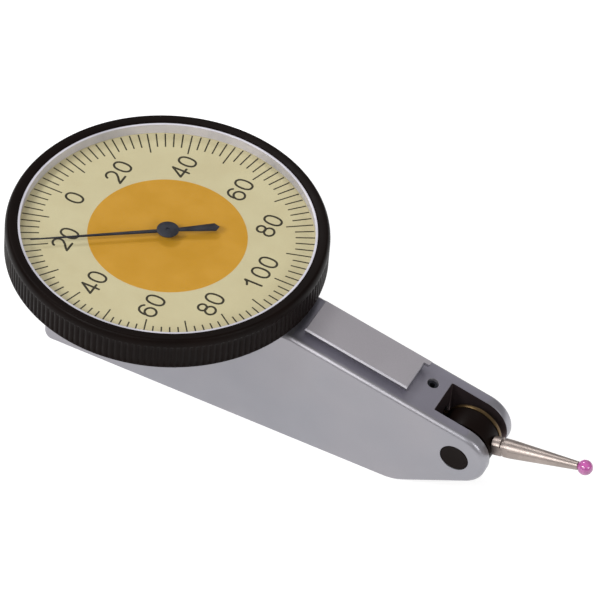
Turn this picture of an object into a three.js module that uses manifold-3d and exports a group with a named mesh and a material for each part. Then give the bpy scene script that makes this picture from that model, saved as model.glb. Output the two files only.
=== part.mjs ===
// A lever-type dial test indicator, in millimetres.
// X runs from the dial towards the stylus, Z up out of the dial, Y across the narrow body.
// The model is drawn from the dial axis (x = 0) and the dial's printed face (z = 0), and the
// whole is then lifted so that the origin lies on the flat underside, below the dial's middle.
import * as THREE from 'three';
import { mergeVertices } from 'three/addons/utils/BufferGeometryUtils.js';
import Module from 'manifold-3d';

const wasm = await Module();
wasm.setup();

// Fits and fineness
const pressGap = 0.01;
const runGap = 0.03;
const seatGap = 0.03;
const looseGap = 0.1;
const overrun = 1;
const weldTolerance = 0.0001;
const postSteps = 12;
const smallSteps = 16;
const wheelSteps = 32;
const rimSteps = 60;
const wireSides = 5;
const hexSides = 6;
const cornerSteps = 4;
const noseSteps = 16;
const edgeSteps = 2;

// Body, seen from the side
const bodyWidth = 8.7;
const platformDepth = 4.4;
const pivotDrop = 9.04;
const pivotRise = 8.56;
const platformTuck = 0.7;
const shoulderRun = 23.26;
const rearCornerRadius = 1.2;
const topCornerRadius = 0.8;
const noseRadius = 4.05;
const chinAngle = THREE.MathUtils.degToRad(27.5);
const heelRadius = 6;
const edgeRound = 0.55;

// Dovetail rail on the sloping shoulder
const railTopWidth = 5.92;
const railHeight = 1.35;
const railStart = 1.1;
const railEndGap = 2.18;
const railAngle = THREE.MathUtils.degToRad(60);
const railEarWidth = 0.9;
const railEarLength = 0.73;

// Clevis and its bearing plugs
const cheekThickness = 1.75;
const slotClearance = 0.26;
const plugRadius = 1.87;
const plugPocketDepth = 0.7;

// Hollow of the body
const hollowWall = 1.3;
const rearWall = 3.8;
const solidNose = 7.2;
const ceilingThickness = 1.6;
const shoulderThickness = 2;
const tunnelSideRoom = 0.3;
const tunnelRoom = 0.8;
const coverThickness = 1.2;
const coverScrewMargin = 0.35;

// Locking screw in the shoulder
const lockScrewRadius = 0.7;
const lockScrewLength = 1.9;
const lockScrewSink = 0.35;
const lockHoleSpare = 0.15;
const lockHoleGap = 1.9;
const lockHoleAcross = 1;
const hexKeyRadius = 0.42;
const hexKeyDepth = 0.9;

// Head: base plate, bezel, dial and crystal
const bezelRadius = 20.2;
const bezelTop = 1.86;
const bezelSkirt = 0.16;
const bezelCrownHeight = 0.8;
const rimSetback = 0.35;
const lipSetback = 0.03;
const lipThickness = 0.24;
const grooveCount = 160;
const grooveDepth = 0.14;
const bezelWall = 1.05;
const skirtWall = 1.29;
const webReach = 1.05;
const webThickness = 0.33;
const flangeOverhang = 2.25;
const plateFlangeThickness = 1.9;
const headScrewMargin = 1;
const dialEdgeGap = 0.2;
const dialThickness = 0.25;
const dialHoleRadius = 1;
const dialRingWall = 0.7;
const dialRingFlare = 0.15;
const crystalThickness = 0.4;
const springWireRadius = 0.24;
const springSideRoom = 0.21;
const springOpening = THREE.MathUtils.degToRad(24);

// Pointer and its spindle
const pointerTipGap = 1.25;
const pointerTail = 6.5;
const pointerTipWidth = 0.16;
const pointerWaistWidth = 0.62;
const pointerTailWidth = 1.35;
const pointerTailPoint = 0.55;
const pointerThickness = 0.12;
const pointerDrop = 0.32;
const pointerRestAngle = THREE.MathUtils.degToRad(215.8);
const capRadius = 1.4;
const capHeight = 0.24;
const capStemRadius = 0.7;
const spindleRadius = 0.25;
const spindleBodyRadius = 0.35;
const spindlePivotRadius = 0.18;

// Gear train: every wheel's teeth follow from the module
const toothModule = 0.15;
const toothTopShare = 0.8;
const toothRootShare = 1.15;
const toothWidthShare = 0.42;
const toothTipShare = 0.45;
const toothFootShare = 1.35;
const centrePinionTeeth = 8;
const crownTeeth = 64;
const crownPinionTeeth = 10;
const sectorFullTeeth = 160;
const sectorTeeth = 9;
const stylusReach = 16;
const ballTravel = 0.2;
const faceWidth = 0.6;
const crownThickness = 0.5;
const crownHoleRadius = 1.2;
const crownHoleCount = 4;
const wheelArborRadius = 0.45;
const wheelPivotRadius = 0.2;
const sectorArborRadius = 0.5;
const sectorPivotRadius = 0.25;
const sectorNear = 0.1;
const sectorHubRadius = 1.5;
const sectorArmWidth = 1.7;
const forkHeight = 2.2;
const forkOverhang = 1.4;
const drivePinRadius = 0.35;

// Movement frame inside the hollow
const sidePlateThickness = 0.6;
const sidePlateMargin = 2.85;
const sidePlateEnd = 1.6;
const sidePlateFoot = 1.4;
const sidePlateCorner = 1;
const frameRearRoom = 1.7;
const frameFrontRoom = 1.3;
const pillarRadius = 0.8;
const spacerLength = 2.4;
const spacerHeight = 2.5;
const rearSpacerGap = 1.3;
const frontSpacerGap = 2.2;
const jewelRadius = 0.6;
const jewelThickness = 0.5;
const lowerJewelRadius = 0.42;
const cockWidth = 3.2;
const cockThickness = 0.7;
const cockFootHeight = 2.6;
const hairspringTurns = 4;
const hairspringOuter = 2.3;
const hairspringStrip = 0.06;
const hairspringWidth = 0.3;
const hairspringSteps = 16;
const studPinRadius = 0.24;
const colletRadius = 0.85;
const colletWidth = 0.6;

// Screws
const seatScrewRadius = 0.8;
const seatScrewHeadRadius = 1.4;
const seatScrewHeadHeight = 0.8;
const coverScrewRadius = 0.6;
const coverScrewHeadRadius = 0.95;
const coverScrewHeadHeight = 0.5;
const coverScrewLength = 2.4;
const screwSlotWidth = 0.3;
const screwSlotDepth = 0.3;

// Lever, swivel hub and stylus
const leverThickness = 0.5;
const leverGap = 0.3;
const leverDiscRim = 0.08;
const leverArmWidth = 2.4;
const leverTipWidth = 1.5;
const leverTipRadius = 0.9;
const leverBossRadius = 1.3;
const leverArborRadius = 0.8;
const leverPivotRadius = 0.4;
const hubSink = 0.35;
const washerThickness = 0.16;
const washerRadius = 2.4;
const collarThickness = 0.3;
const collarRadius = 1.9;
const stylusAngle = THREE.MathUtils.degToRad(11.58);
const studRadius = 0.55;
const studLength = 1.7;
const wrenchCollarRadius = 1.2;
const wrenchCollarLength = 1.1;
const wrenchFlatWidth = 1.8;
const wrenchFlatLength = 2.2;
const shankNeckRadius = 0.92;
const shankNeckLength = 0.3;
const shankRootRadius = 1.19;
const shankRootLength = 1;
const shankTipRadius = 0.55;
const ballRadius = 1;

// Gear radii, and the wheels' places: all arbors lie on one line with the lever's pivot
const centrePinionRadius = toothModule * centrePinionTeeth / 2;
const crownRadius = toothModule * crownTeeth / 2;
const crownPinionRadius = toothModule * crownPinionTeeth / 2;
const sectorRadius = toothModule * sectorFullTeeth / 2;
const sectorPitch = 2 * Math.PI / sectorFullTeeth;
const sectorForward = sectorRadius + crownPinionRadius;
const gearRatio = sectorRadius / crownPinionRadius * crownRadius / centrePinionRadius;
const leverRatio = 2 * Math.PI * stylusReach / ballTravel / gearRatio;
const crownReach = crownRadius + faceWidth / 2;

// Heights
const platform = -platformDepth;
const pivotHeight = platform - pivotDrop;
const underside = pivotHeight - pivotRise;
const ceiling = platform - ceilingThickness;
const coverSeat = underside + coverThickness;
const crownTop = pivotHeight + crownRadius;

// Places along the body
const platformFront = bezelRadius - platformTuck;
const pivotForward = platformFront + shoulderRun;
const hubRadius = noseRadius - hubSink;
const leverDiscRadius = hubRadius + leverDiscRim;
const slotRear = pivotForward - hubRadius - slotClearance;
const lockHoleForward = slotRear - lockHoleGap;
const hollowFront = slotRear - solidNose;
const rearSpacerBack = crownReach + spacerLength / 2 + rearSpacerGap;
const frontSpacerForward = crownReach + spacerLength / 2 + frontSpacerGap;
const sidePlateRear = rearSpacerBack + sidePlateEnd;
const sidePlateFront = sectorForward + sidePlateMargin;
const hollowRear = sidePlateRear + frameRearRoom;
const hollowStep = sidePlateFront + frameFrontRoom;
const bodyRear = hollowRear + rearWall;
const headScrewReach = hollowRear + headScrewMargin;
const coverLedge = 2 * (coverScrewHeadRadius + coverScrewMargin);
const coverScrewBack = -hollowRear - coverLedge / 2;
const coverScrewForward = hollowFront + coverLedge / 2;
const forkReach = (pivotForward - sectorForward) / (1 + leverRatio);
const leverReach = pivotForward - sectorForward - forkReach;
const movementScrews = [-rearSpacerBack, frontSpacerForward];
const movementScrewSink = seatScrewHeadHeight + seatGap;

// Places across the body
const halfWidth = bodyWidth / 2;
const halfHollow = halfWidth - hollowWall;
const halfSlot = halfWidth - cheekThickness;
const plateOuter = halfHollow - looseGap;
const plateInner = plateOuter - sidePlateThickness;
const sectorFar = sectorNear + faceWidth;
const leverNear = sectorFar + leverGap;
const leverFar = leverNear + leverThickness;
const leverMiddle = (leverNear + leverFar) / 2;
const tunnelWidth = leverThickness + 2 * tunnelSideRoom;
const tunnelHeight = leverArmWidth + 2 * tunnelRoom;
const colletNear = sectorFar + 2 * looseGap;
const hairspringNear = colletNear + (colletWidth - hairspringWidth) / 2;
const collarOuter = -halfSlot + looseGap;
const collarInner = collarOuter + collarThickness;
const hubNear = collarInner + washerThickness + 2 * runGap;
const hubFar = leverNear - runGap;
const stylusPlane = (hubNear + hubFar) / 2;

// Head, from the bezel's outside inwards
const bezelRimRadius = bezelRadius - rimSetback;
const rimBore = bezelRadius - bezelWall;
const bezelBore = bezelRadius - skirtWall;
const plateRadius = bezelBore - 2 * runGap;
const plateFootRadius = plateRadius - flangeOverhang;
const webRadius = plateRadius - webReach;
const dialRadius = rimBore - dialEdgeGap;
const dialRingRadius = rimBore - dialRingWall;
const dialRingTopRadius = dialRingRadius + dialRingFlare;
const lipRadius = dialRingTopRadius + lipSetback;
const crystalRadius = dialRingRadius - pressGap;
const pointerReach = dialRingRadius - pointerTipGap;
const jewelBore = 2 * runGap;

// Head, from the top down
const bezelLip = bezelTop - lipThickness;
const ringTop = bezelLip - seatGap;
const crystalTop = ringTop - seatGap;
const crystalFoot = crystalTop - crystalThickness;
const pointerHeight = crystalFoot - pointerDrop;
const webTop = -dialThickness - seatGap;
const webFoot = webTop - webThickness;
const plateTop = webFoot - 3 * runGap;
const flangeFoot = plateTop - plateFlangeThickness;
const bezelFoot = flangeFoot - bezelSkirt;
const springHeight = (plateTop + flangeFoot) / 2;
const springGrooveHeight = 2 * (springWireRadius + 2 * runGap);
const springGrooveReach = springWireRadius + springSideRoom;

// Spindle's pinion and the cock that carries its lower jewel
const pinionFoot = crownTop - faceWidth / 2 - looseGap;
const pinionTop = crownTop + faceWidth / 2 + looseGap;
const sectorReachUp = Math.sin(sectorPitch * (sectorTeeth + crownPinionTeeth / 2) / 2) * sectorRadius;
const cockFoot = pivotHeight + sectorReachUp + 2 * looseGap;
const cockTop = cockFoot + cockThickness;
const cockScrewHeight = cockTop + (cockFootHeight - cockThickness) / 2;
const pillarHeight = coverSeat + sidePlateFoot + 2 * pillarRadius;

// Slope of the shoulder
const platformEdge = new THREE.Vector2(platformFront, platform);
const pivotPoint = new THREE.Vector2(pivotForward, pivotHeight);
const shoulderAngle = tangentAngle(platformEdge, pivotPoint, noseRadius);
const shoulderSlope = Math.tan(shoulderAngle);
const lockHoleAlong = (lockHoleForward - platformFront) / Math.cos(shoulderAngle);
const railLength = lockHoleAlong - railEndGap - railStart;

// Angle of the line that leaves a point and touches the top of a circle
function tangentAngle(from, centre, radius) {
  const reach = centre.clone().sub(from);
  return Math.atan2(reach.y, reach.x) + Math.asin(radius / reach.length());
}

// Height of the sloping shoulder at a distance in front of the dial axis
function shoulderAt(x) {
  return platform + (x - platformFront) * shoulderSlope;
}

// A closed surface with shared corners, no collapsed triangles and its faces pointing out
function closed(geometry) {
  const bare = geometry.clone();
  bare.deleteAttribute('normal');
  bare.deleteAttribute('uv');
  const welded = mergeVertices(bare, weldTolerance);
  const place = welded.attributes.position;
  const kept = [];
  let volume = 0;
  const corners = [new THREE.Vector3(), new THREE.Vector3(), new THREE.Vector3()];
  for (let i = 0; i < welded.index.count; i += 3) {
    const [a, b, c] = [0, 1, 2].map((k) => welded.index.getX(i + k));
    if (a === b || b === c || c === a) continue;
    kept.push(a, b, c);
    [a, b, c].forEach((corner, k) => corners[k].fromBufferAttribute(place, corner));
    volume += corners[0].dot(corners[1].clone().cross(corners[2]));
  }
  if (volume < 0) kept.reverse();
  welded.setIndex(kept);
  return welded;
}

function solid(geometry) {
  const welded = closed(geometry);
  const vertProperties = new Float32Array(welded.attributes.position.array);
  const triVerts = new Uint32Array(welded.index.array);
  return new wasm.Manifold(new wasm.Mesh({ numProp: 3, vertProperties, triVerts }));
}

function surface(body) {
  const mesh = body.getMesh();
  const geometry = new THREE.BufferGeometry();
  geometry.setAttribute('position', new THREE.BufferAttribute(mesh.vertProperties, 3));
  geometry.setIndex(new THREE.BufferAttribute(mesh.triVerts, 1));
  return closed(geometry);
}

function cut(geometry, ...tools) {
  return surface(tools.reduce((left, tool) => left.subtract(solid(tool)), solid(geometry)));
}

function join(geometry, ...others) {
  return surface(others.reduce((whole, other) => whole.add(solid(other)), solid(geometry)));
}

// A turned piece about Z, from a closed profile of [radius, height] points
function turned(profile, steps = smallSteps) {
  const points = profile.map(([r, z]) => new THREE.Vector2(r, z));
  points.push(points[0].clone());
  return closed(new THREE.LatheGeometry(points, steps).rotateX(Math.PI / 2));
}

// A turned piece about an axis along Y, its profile's heights being y values
function turnedAcross(profile, steps = smallSteps) {
  return turned(profile, steps).rotateX(-Math.PI / 2);
}

function rod(radius, low, high, steps = smallSteps) {
  return turned([[0, low], [radius, low], [radius, high], [0, high]], steps);
}

function rodAcross(radius, low, high, steps = smallSteps) {
  return turnedAcross([[0, low], [radius, low], [radius, high], [0, high]], steps);
}

function tube(bore, radius, low, high, steps = smallSteps) {
  return turned([[bore, low], [radius, low], [radius, high], [bore, high]], steps);
}

function tubeAcross(bore, radius, low, high, steps = smallSteps) {
  return turnedAcross([[bore, low], [radius, low], [radius, high], [bore, high]], steps);
}

// An outline of [x, z] points as thick as the span from one y to another
function slab(outline, low, high, round = 0) {
  const shape = new THREE.Shape(outline.map(([x, z]) => new THREE.Vector2(x, z)));
  const bevel = { bevelEnabled: round > 0, bevelThickness: round, bevelSize: round };
  const options = { depth: high - low - 2 * round, bevelOffset: -round, bevelSegments: edgeSteps, ...bevel };
  const geometry = new THREE.ExtrudeGeometry(shape, options);
  return closed(geometry.rotateX(Math.PI / 2).translate(0, high - round, 0));
}

// An outline of [x, y] points as tall as the span from one z to another
function prism(outline, low, high) {
  const shape = new THREE.Shape(outline.map(([x, y]) => new THREE.Vector2(x, y)));
  const geometry = new THREE.ExtrudeGeometry(shape, { depth: high - low, bevelEnabled: false });
  return closed(geometry.translate(0, 0, low));
}

function block(x0, x1, y0, y1, z0, z1) {
  const geometry = new THREE.BoxGeometry(x1 - x0, y1 - y0, z1 - z0);
  return geometry.translate((x0 + x1) / 2, (y0 + y1) / 2, (z0 + z1) / 2);
}

// Points on an arc, its ends included
function arc(x, z, radius, from, to, steps) {
  return Array.from({ length: steps + 1 }, (_, i) => {
    const angle = from + (to - from) * i / steps;
    return [x + radius * Math.cos(angle), z + radius * Math.sin(angle)];
  });
}

// A closed ring of points for a shape or a hole in one
function circle(radius, steps) {
  return arc(0, 0, radius, 0, 2 * Math.PI, steps).slice(0, -1).map(([x, y]) => new THREE.Vector2(x, y));
}

// Outline of gear teeth round a circle, from the first tooth's middle angle
function teeth(radius, pitch, count, first) {
  const outer = radius + toothModule * toothTopShare;
  const root = radius - toothModule * toothRootShare;
  const halfTooth = pitch * toothWidthShare / 2;
  const corners = [[root, -toothFootShare], [outer, -toothTipShare], [outer, toothTipShare],
    [root, toothFootShare]];
  const points = [];
  for (let i = 0; i < count; i += 1) {
    const middle = first + i * pitch;
    for (const [r, side] of corners) {
      const angle = middle + side * halfTooth;
      points.push([r * Math.cos(angle), r * Math.sin(angle)]);
    }
  }
  return points;
}

function pinionOutline(toothCount, firstAngle) {
  const pitch = 2 * Math.PI / toothCount;
  return teeth(toothModule * toothCount / 2, pitch, toothCount, firstAngle);
}

// A slotted screw that stands head up, the head's underside at z = 0
function screw(radius, length, headRadius, headHeight) {
  const profile = [[0, -length], [radius, -length], [radius, 0], [headRadius, 0], [headRadius, headHeight],
    [0, headHeight]];
  const slot = block(-headRadius - overrun, headRadius + overrun, -screwSlotWidth / 2, screwSlotWidth / 2,
    headHeight - screwSlotDepth, headHeight + overrun);
  return cut(turned(profile), slot);
}

// Materials of the real pieces
const finish = {
  satin: { color: 0xb4b2ae, roughness: 0.36, metalness: 0.9 },
  steel: { color: 0x9d978e, roughness: 0.28, metalness: 1 },
  blackened: { color: 0x1d1411, roughness: 0.45, metalness: 0.4 },
  blued: { color: 0x20242c, roughness: 0.35, metalness: 0.7 },
  bright: { color: 0xd4cdc4, roughness: 0.22, metalness: 1 },
  brass: { color: 0xb8863c, roughness: 0.32, metalness: 1 },
  printed: { color: 0xc8bf9e, roughness: 0.7, metalness: 0 },
  clear: { color: 0xf4f8f8, roughness: 0.05, metalness: 0, transparent: true, opacity: 0.2 },
  jewel: { color: 0xc2285a, roughness: 0.12, metalness: 0 },
  spring: { color: 0x55606e, roughness: 0.3, metalness: 1 },
};

function piece(name, geometry, look) {
  const mesh = new THREE.Mesh(geometry, new THREE.MeshStandardMaterial(finish[look]));
  mesh.name = name;
  return mesh;
}

// Body: one machined block with the rail, the clevis and the hollow for the movement
function bodyOutline() {
  const rear = -bodyRear;
  const heel = heelRadius * Math.tan(chinAngle / 2);
  const chinForward = pivotForward + noseRadius * Math.sin(chinAngle);
  const chinHeight = pivotHeight - noseRadius * Math.cos(chinAngle);
  const heelForward = chinForward - (chinHeight - underside) / Math.tan(chinAngle);
  const quarter = Math.PI / 2;
  return [
    ...arc(rear + rearCornerRadius, underside + rearCornerRadius, rearCornerRadius, 2 * quarter, 3 * quarter,
      cornerSteps),
    ...arc(heelForward - heel, underside + heelRadius, heelRadius, -quarter, chinAngle - quarter,
      cornerSteps),
    ...arc(pivotForward, pivotHeight, noseRadius, chinAngle - quarter, shoulderAngle + quarter, noseSteps),
    [platformFront, platform],
    ...arc(rear + topCornerRadius, platform - topCornerRadius, topCornerRadius, quarter, 2 * quarter,
      cornerSteps),
  ];
}

// Turns a piece drawn upright at the origin so that it stands on the shoulder
function onShoulder(geometry, along, side = 0) {
  const run = new THREE.Vector3(Math.cos(shoulderAngle), 0, Math.sin(shoulderAngle));
  const up = new THREE.Vector3(-run.z, 0, run.x);
  const across = new THREE.Vector3(0, 1, 0);
  const frame = new THREE.Matrix4().makeBasis(run, across, up);
  const start = new THREE.Vector3(platformFront, side, platform);
  frame.setPosition(start.addScaledVector(run, along));
  return geometry.applyMatrix4(frame);
}

// A bar along the shoulder that starts where the rail does
function shoulderBar(section, length) {
  const shape = new THREE.Shape(section.map(([y, z]) => new THREE.Vector2(y, z)));
  const bar = new THREE.ExtrudeGeometry(shape, { depth: length, bevelEnabled: false });
  const upright = new THREE.Matrix4().makeBasis(
    new THREE.Vector3(0, 1, 0), new THREE.Vector3(0, 0, 1), new THREE.Vector3(1, 0, 0));
  return onShoulder(bar.applyMatrix4(upright), railStart);
}

// The rail's far edge runs on past its front end in a short ear
function rail() {
  const top = railTopWidth / 2;
  const neck = top - railHeight / Math.tan(railAngle);
  const inner = top - railEarWidth;
  const section = [[-neck, -seatGap], [-neck, 0], [-top, railHeight], [top, railHeight], [neck, 0],
    [neck, -seatGap]];
  const farEdge = [[inner, -seatGap], [inner, railHeight], [top, railHeight], [neck, 0], [neck, -seatGap]];
  return [shoulderBar(section, railLength), shoulderBar(farEdge, railLength + railEarLength)];
}

function hollow() {
  const shoulderCeiling = shoulderAt(hollowFront) - shoulderThickness;
  const below = underside - overrun;
  return [
    block(-hollowRear, hollowStep, -halfHollow, halfHollow, below, ceiling),
    block(hollowStep - overrun, hollowFront, -halfHollow, halfHollow, below, shoulderCeiling),
    block(-hollowRear - coverLedge, hollowFront + coverLedge, -halfHollow, halfHollow, below, coverSeat),
    block(hollowFront - overrun, slotRear + overrun, leverMiddle - tunnelWidth / 2,
      leverMiddle + tunnelWidth / 2, pivotHeight - tunnelHeight / 2, pivotHeight + tunnelHeight / 2),
  ];
}

function bodyBlock() {
  const shell = slab(bodyOutline(), -halfWidth, halfWidth, edgeRound);
  const slot = block(slotRear, pivotForward + noseRadius + overrun, -halfSlot, halfSlot,
    underside - overrun, platform);
  const plugHole = rodAcross(plugRadius + seatGap, -halfWidth - overrun, halfWidth + overrun, wheelSteps);
  plugHole.translate(pivotForward, 0, pivotHeight);
  const lockHoleDepth = lockScrewSink + lockScrewLength + lockHoleSpare;
  const lockBore = rod(lockScrewRadius + seatGap, -lockHoleDepth, overrun);
  const lockHole = onShoulder(lockBore, lockHoleAlong, lockHoleAcross);
  const spindleHole = rod(dialHoleRadius, ceiling - overrun, platform + overrun);
  const holes = [spindleHole];
  for (const x of [coverScrewBack, coverScrewForward]) {
    const depth = coverScrewLength + seatGap;
    holes.push(rod(coverScrewRadius + seatGap, coverSeat - overrun, coverSeat + depth).translate(x, 0, 0));
  }
  for (const x of [-headScrewReach, headScrewReach]) {
    holes.push(rod(seatScrewRadius + seatGap, ceiling - overrun, platform + overrun).translate(x, 0, 0));
  }
  for (const x of movementScrews) {
    const sink = platform - movementScrewSink;
    holes.push(rod(seatScrewRadius + seatGap, ceiling - overrun, platform).translate(x, 0, 0));
    holes.push(rod(seatScrewHeadRadius + seatGap, sink, platform + overrun).translate(x, 0, 0));
  }
  return cut(join(shell, ...rail()), slot, plugHole, lockHole, ...hollow(), ...holes);
}

// Cover that closes the hollow from below, with its two sunk screws
function undersideCover() {
  const rear = -hollowRear - coverLedge + looseGap;
  const front = hollowFront + coverLedge - looseGap;
  const side = halfHollow - looseGap;
  const top = coverSeat - seatGap;
  const holes = [coverScrewBack, coverScrewForward].flatMap((x) => {
    const sink = underside + coverScrewHeadHeight + 2 * seatGap;
    return [
      rod(coverScrewRadius + seatGap, underside, top + overrun).translate(x, 0, 0),
      rod(coverScrewHeadRadius + seatGap, underside - overrun, sink).translate(x, 0, 0),
    ];
  });
  return cut(block(rear, front, -side, side, underside, top), ...holes);
}

function coverScrews() {
  const length = coverThickness - coverScrewHeadHeight - 2 * seatGap + coverScrewLength - seatGap;
  const geometry = screw(coverScrewRadius, length, coverScrewHeadRadius, coverScrewHeadHeight);
  const places = { cover_screw_rear: coverScrewBack, cover_screw_front: coverScrewForward };
  return Object.entries(places).map(([name, x]) => {
    const mesh = piece(name, geometry, 'steel');
    mesh.rotation.x = Math.PI;
    mesh.position.set(x, 0, underside + coverScrewHeadHeight + seatGap);
    return mesh;
  });
}

// Bearing plugs in the clevis cheeks, each with a jewel in its pocket
function pivotPlug() {
  const inner = halfSlot + seatGap;
  const outer = halfWidth - seatGap;
  const plug = rodAcross(plugRadius, inner, outer, wheelSteps);
  const pocket = rodAcross(jewelRadius + pressGap, inner - overrun, inner + plugPocketDepth);
  return cut(plug, pocket);
}

function pivotJewel() {
  const inner = halfSlot + 2 * seatGap;
  return tubeAcross(leverPivotRadius + jewelBore, jewelRadius, inner, inner + jewelThickness);
}

function lockScrew() {
  const body = rod(lockScrewRadius, -lockScrewSink - lockScrewLength, -lockScrewSink);
  const key = rod(hexKeyRadius, -lockScrewSink - hexKeyDepth, overrun, hexSides);
  return onShoulder(cut(body, key), lockHoleAlong, lockHoleAcross);
}

// Head plate: screwed to the body, it carries the bezel round its rim
function headPlate() {
  const foot = platform + seatGap;
  const low = springHeight - springGrooveHeight / 2;
  const high = springHeight + springGrooveHeight / 2;
  const groove = plateRadius - springGrooveReach;
  const jewelFoot = plateTop - jewelThickness - seatGap;
  const jewelHole = jewelRadius + pressGap;
  const wide = spindleBodyRadius + looseGap;
  const profile = [[wide, foot], [plateFootRadius, foot], [plateFootRadius, flangeFoot],
    [plateRadius, flangeFoot], [plateRadius, low], [groove, low], [groove, high], [plateRadius, high],
    [plateRadius, plateTop], [jewelHole, plateTop], [jewelHole, jewelFoot], [wide, jewelFoot]];
  const holes = [-headScrewReach, headScrewReach].flatMap((x) => {
    const sink = plateTop - seatScrewHeadHeight - seatGap;
    return [
      rod(seatScrewRadius + seatGap, foot - overrun, plateTop).translate(x, 0, 0),
      rod(seatScrewHeadRadius + seatGap, sink, plateTop + overrun).translate(x, 0, 0),
    ];
  });
  return cut(turned(profile, rimSteps), ...holes);
}

function headScrews() {
  const top = plateTop - seatScrewHeadHeight;
  const length = top - ceiling - seatGap;
  const geometry = screw(seatScrewRadius, length, seatScrewHeadRadius, seatScrewHeadHeight);
  const places = { head_screw_rear: -headScrewReach, head_screw_front: headScrewReach };
  return Object.entries(places).map(([name, x]) => {
    const mesh = piece(name, geometry, 'steel');
    mesh.position.set(x, 0, top);
    return mesh;
  });
}

// Open wire ring that sits half in the plate and half in the bezel, and holds the bezel down
function bezelSpring() {
  const middle = (plateRadius + bezelBore) / 2;
  const points = arc(0, 0, middle, springOpening / 2, 2 * Math.PI - springOpening / 2, wheelSteps);
  const path = new THREE.CatmullRomCurve3(points.map(([x, y]) => new THREE.Vector3(x, y, springHeight)));
  const section = new THREE.Shape(circle(springWireRadius, wireSides));
  return closed(new THREE.ExtrudeGeometry(section, { steps: wheelSteps, extrudePath: path }));
}

// Bezel: a turned ring with a grooved band round its lower half
function bezelRing() {
  const low = springHeight - springGrooveHeight / 2;
  const high = springHeight + springGrooveHeight / 2;
  const groove = bezelBore + springGrooveReach;
  const shoulder = (bezelTop + bezelCrownHeight) / 2;
  const roll = (bezelRadius - bezelRimRadius) / 2;
  const inside = [[lipRadius, bezelLip], [rimBore, bezelLip], [rimBore, webTop], [webRadius, webTop],
    [webRadius, webFoot], [bezelBore, webFoot], [bezelBore, high], [groove, high], [groove, low],
    [bezelBore, low], [bezelBore, bezelFoot]];
  const outside = [[bezelRadius - grooveDepth, bezelFoot], [bezelRadius - grooveDepth, bezelCrownHeight],
    [bezelRadius, bezelCrownHeight], [bezelRadius - roll / 2, shoulder], [bezelRimRadius, bezelTop],
    [lipRadius + roll, bezelTop], [lipRadius, bezelTop - roll]];
  const ring = turned([...outside, ...inside].reverse(), rimSteps);
  return join(ring, grippedBand());
}

// The grooved band: one crest and one groove for each step round it
function grippedBand() {
  const root = bezelRadius - grooveDepth;
  const outline = [];
  for (let i = 0; i < grooveCount; i += 1) {
    const angle = 2 * Math.PI * i / grooveCount;
    const half = Math.PI / grooveCount;
    outline.push([bezelRadius * Math.cos(angle), bezelRadius * Math.sin(angle)]);
    outline.push([root * Math.cos(angle + half), root * Math.sin(angle + half)]);
  }
  const shape = new THREE.Shape(outline.map(([x, y]) => new THREE.Vector2(x, y)));
  const inner = (rimBore + bezelRadius) / 2;
  shape.holes.push(new THREE.Path(circle(inner, rimSteps)));
  const height = bezelCrownHeight - bezelFoot;
  return new THREE.ExtrudeGeometry(shape, { depth: height, bevelEnabled: false }).translate(0, 0, bezelFoot);
}

function dialPlate() {
  const shape = new THREE.Shape(circle(dialRadius, rimSteps));
  shape.holes.push(new THREE.Path(circle(dialHoleRadius, smallSteps)));
  const geometry = new THREE.ExtrudeGeometry(shape, { depth: dialThickness, bevelEnabled: false });
  return closed(geometry.translate(0, 0, -dialThickness));
}

// Bright ring between the dial and the bezel's lip, into which the crystal is pressed
function dialRing() {
  const outer = rimBore - seatGap;
  return turned([[dialRingRadius, seatGap], [outer, seatGap], [outer, ringTop], [dialRingTopRadius, ringTop],
    [dialRingRadius, crystalTop]], rimSteps);
}

function crystal() {
  return rod(crystalRadius, crystalFoot, crystalTop, rimSteps);
}

// Pointer: a thin needle whose tail widens to a blunt point, and the cap that holds it on the spindle
function pointerNeedle() {
  const tip = pointerTipWidth / 2;
  const waist = pointerWaistWidth / 2;
  const tail = pointerTailWidth / 2;
  const wide = -pointerTail + pointerTailPoint;
  const point = pointerReach - pointerTipWidth;
  const outline = [[pointerReach, 0], [point, tip], [capRadius, waist], [-capRadius, waist], [wide, tail],
    [-pointerTail, 0], [wide, -tail], [-capRadius, -waist], [capRadius, -waist], [point, -tip]];
  const blade = prism(outline, pointerHeight, pointerHeight + pointerThickness);
  const hub = rod(capRadius - looseGap, pointerHeight, pointerHeight + pointerThickness);
  const bore = rod(capStemRadius + pressGap, pointerHeight - overrun, pointerHeight + overrun);
  return cut(join(blade, hub), bore);
}

function pointerCap() {
  const foot = pointerHeight - capHeight;
  const seat = pointerHeight + pointerThickness + pressGap;
  const top = seat + (crystalFoot - seat) / 2;
  const bore = spindleRadius + pressGap;
  return turned([[bore, foot], [capStemRadius, foot], [capStemRadius, seat], [capRadius, seat],
    [capRadius - (top - seat), top], [bore, top]]);
}

// Spindle at the dial's centre, with the pinion that the crown wheel drives
function spindle() {
  const low = cockFoot + looseGap;
  const jewelFoot = plateTop - jewelThickness - seatGap;
  const top = pointerHeight + pointerThickness;
  const step = jewelFoot - looseGap;
  const stem = turned([[0, low], [spindlePivotRadius, low], [spindlePivotRadius, cockTop + looseGap],
    [spindleBodyRadius, cockTop + looseGap], [spindleBodyRadius, step], [spindleRadius, step],
    [spindleRadius, top], [0, top]]);
  const gapAngle = -Math.PI / 2 + Math.PI / centrePinionTeeth;
  return join(stem, prism(pinionOutline(centrePinionTeeth, gapAngle), pinionFoot, pinionTop));
}

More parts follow.
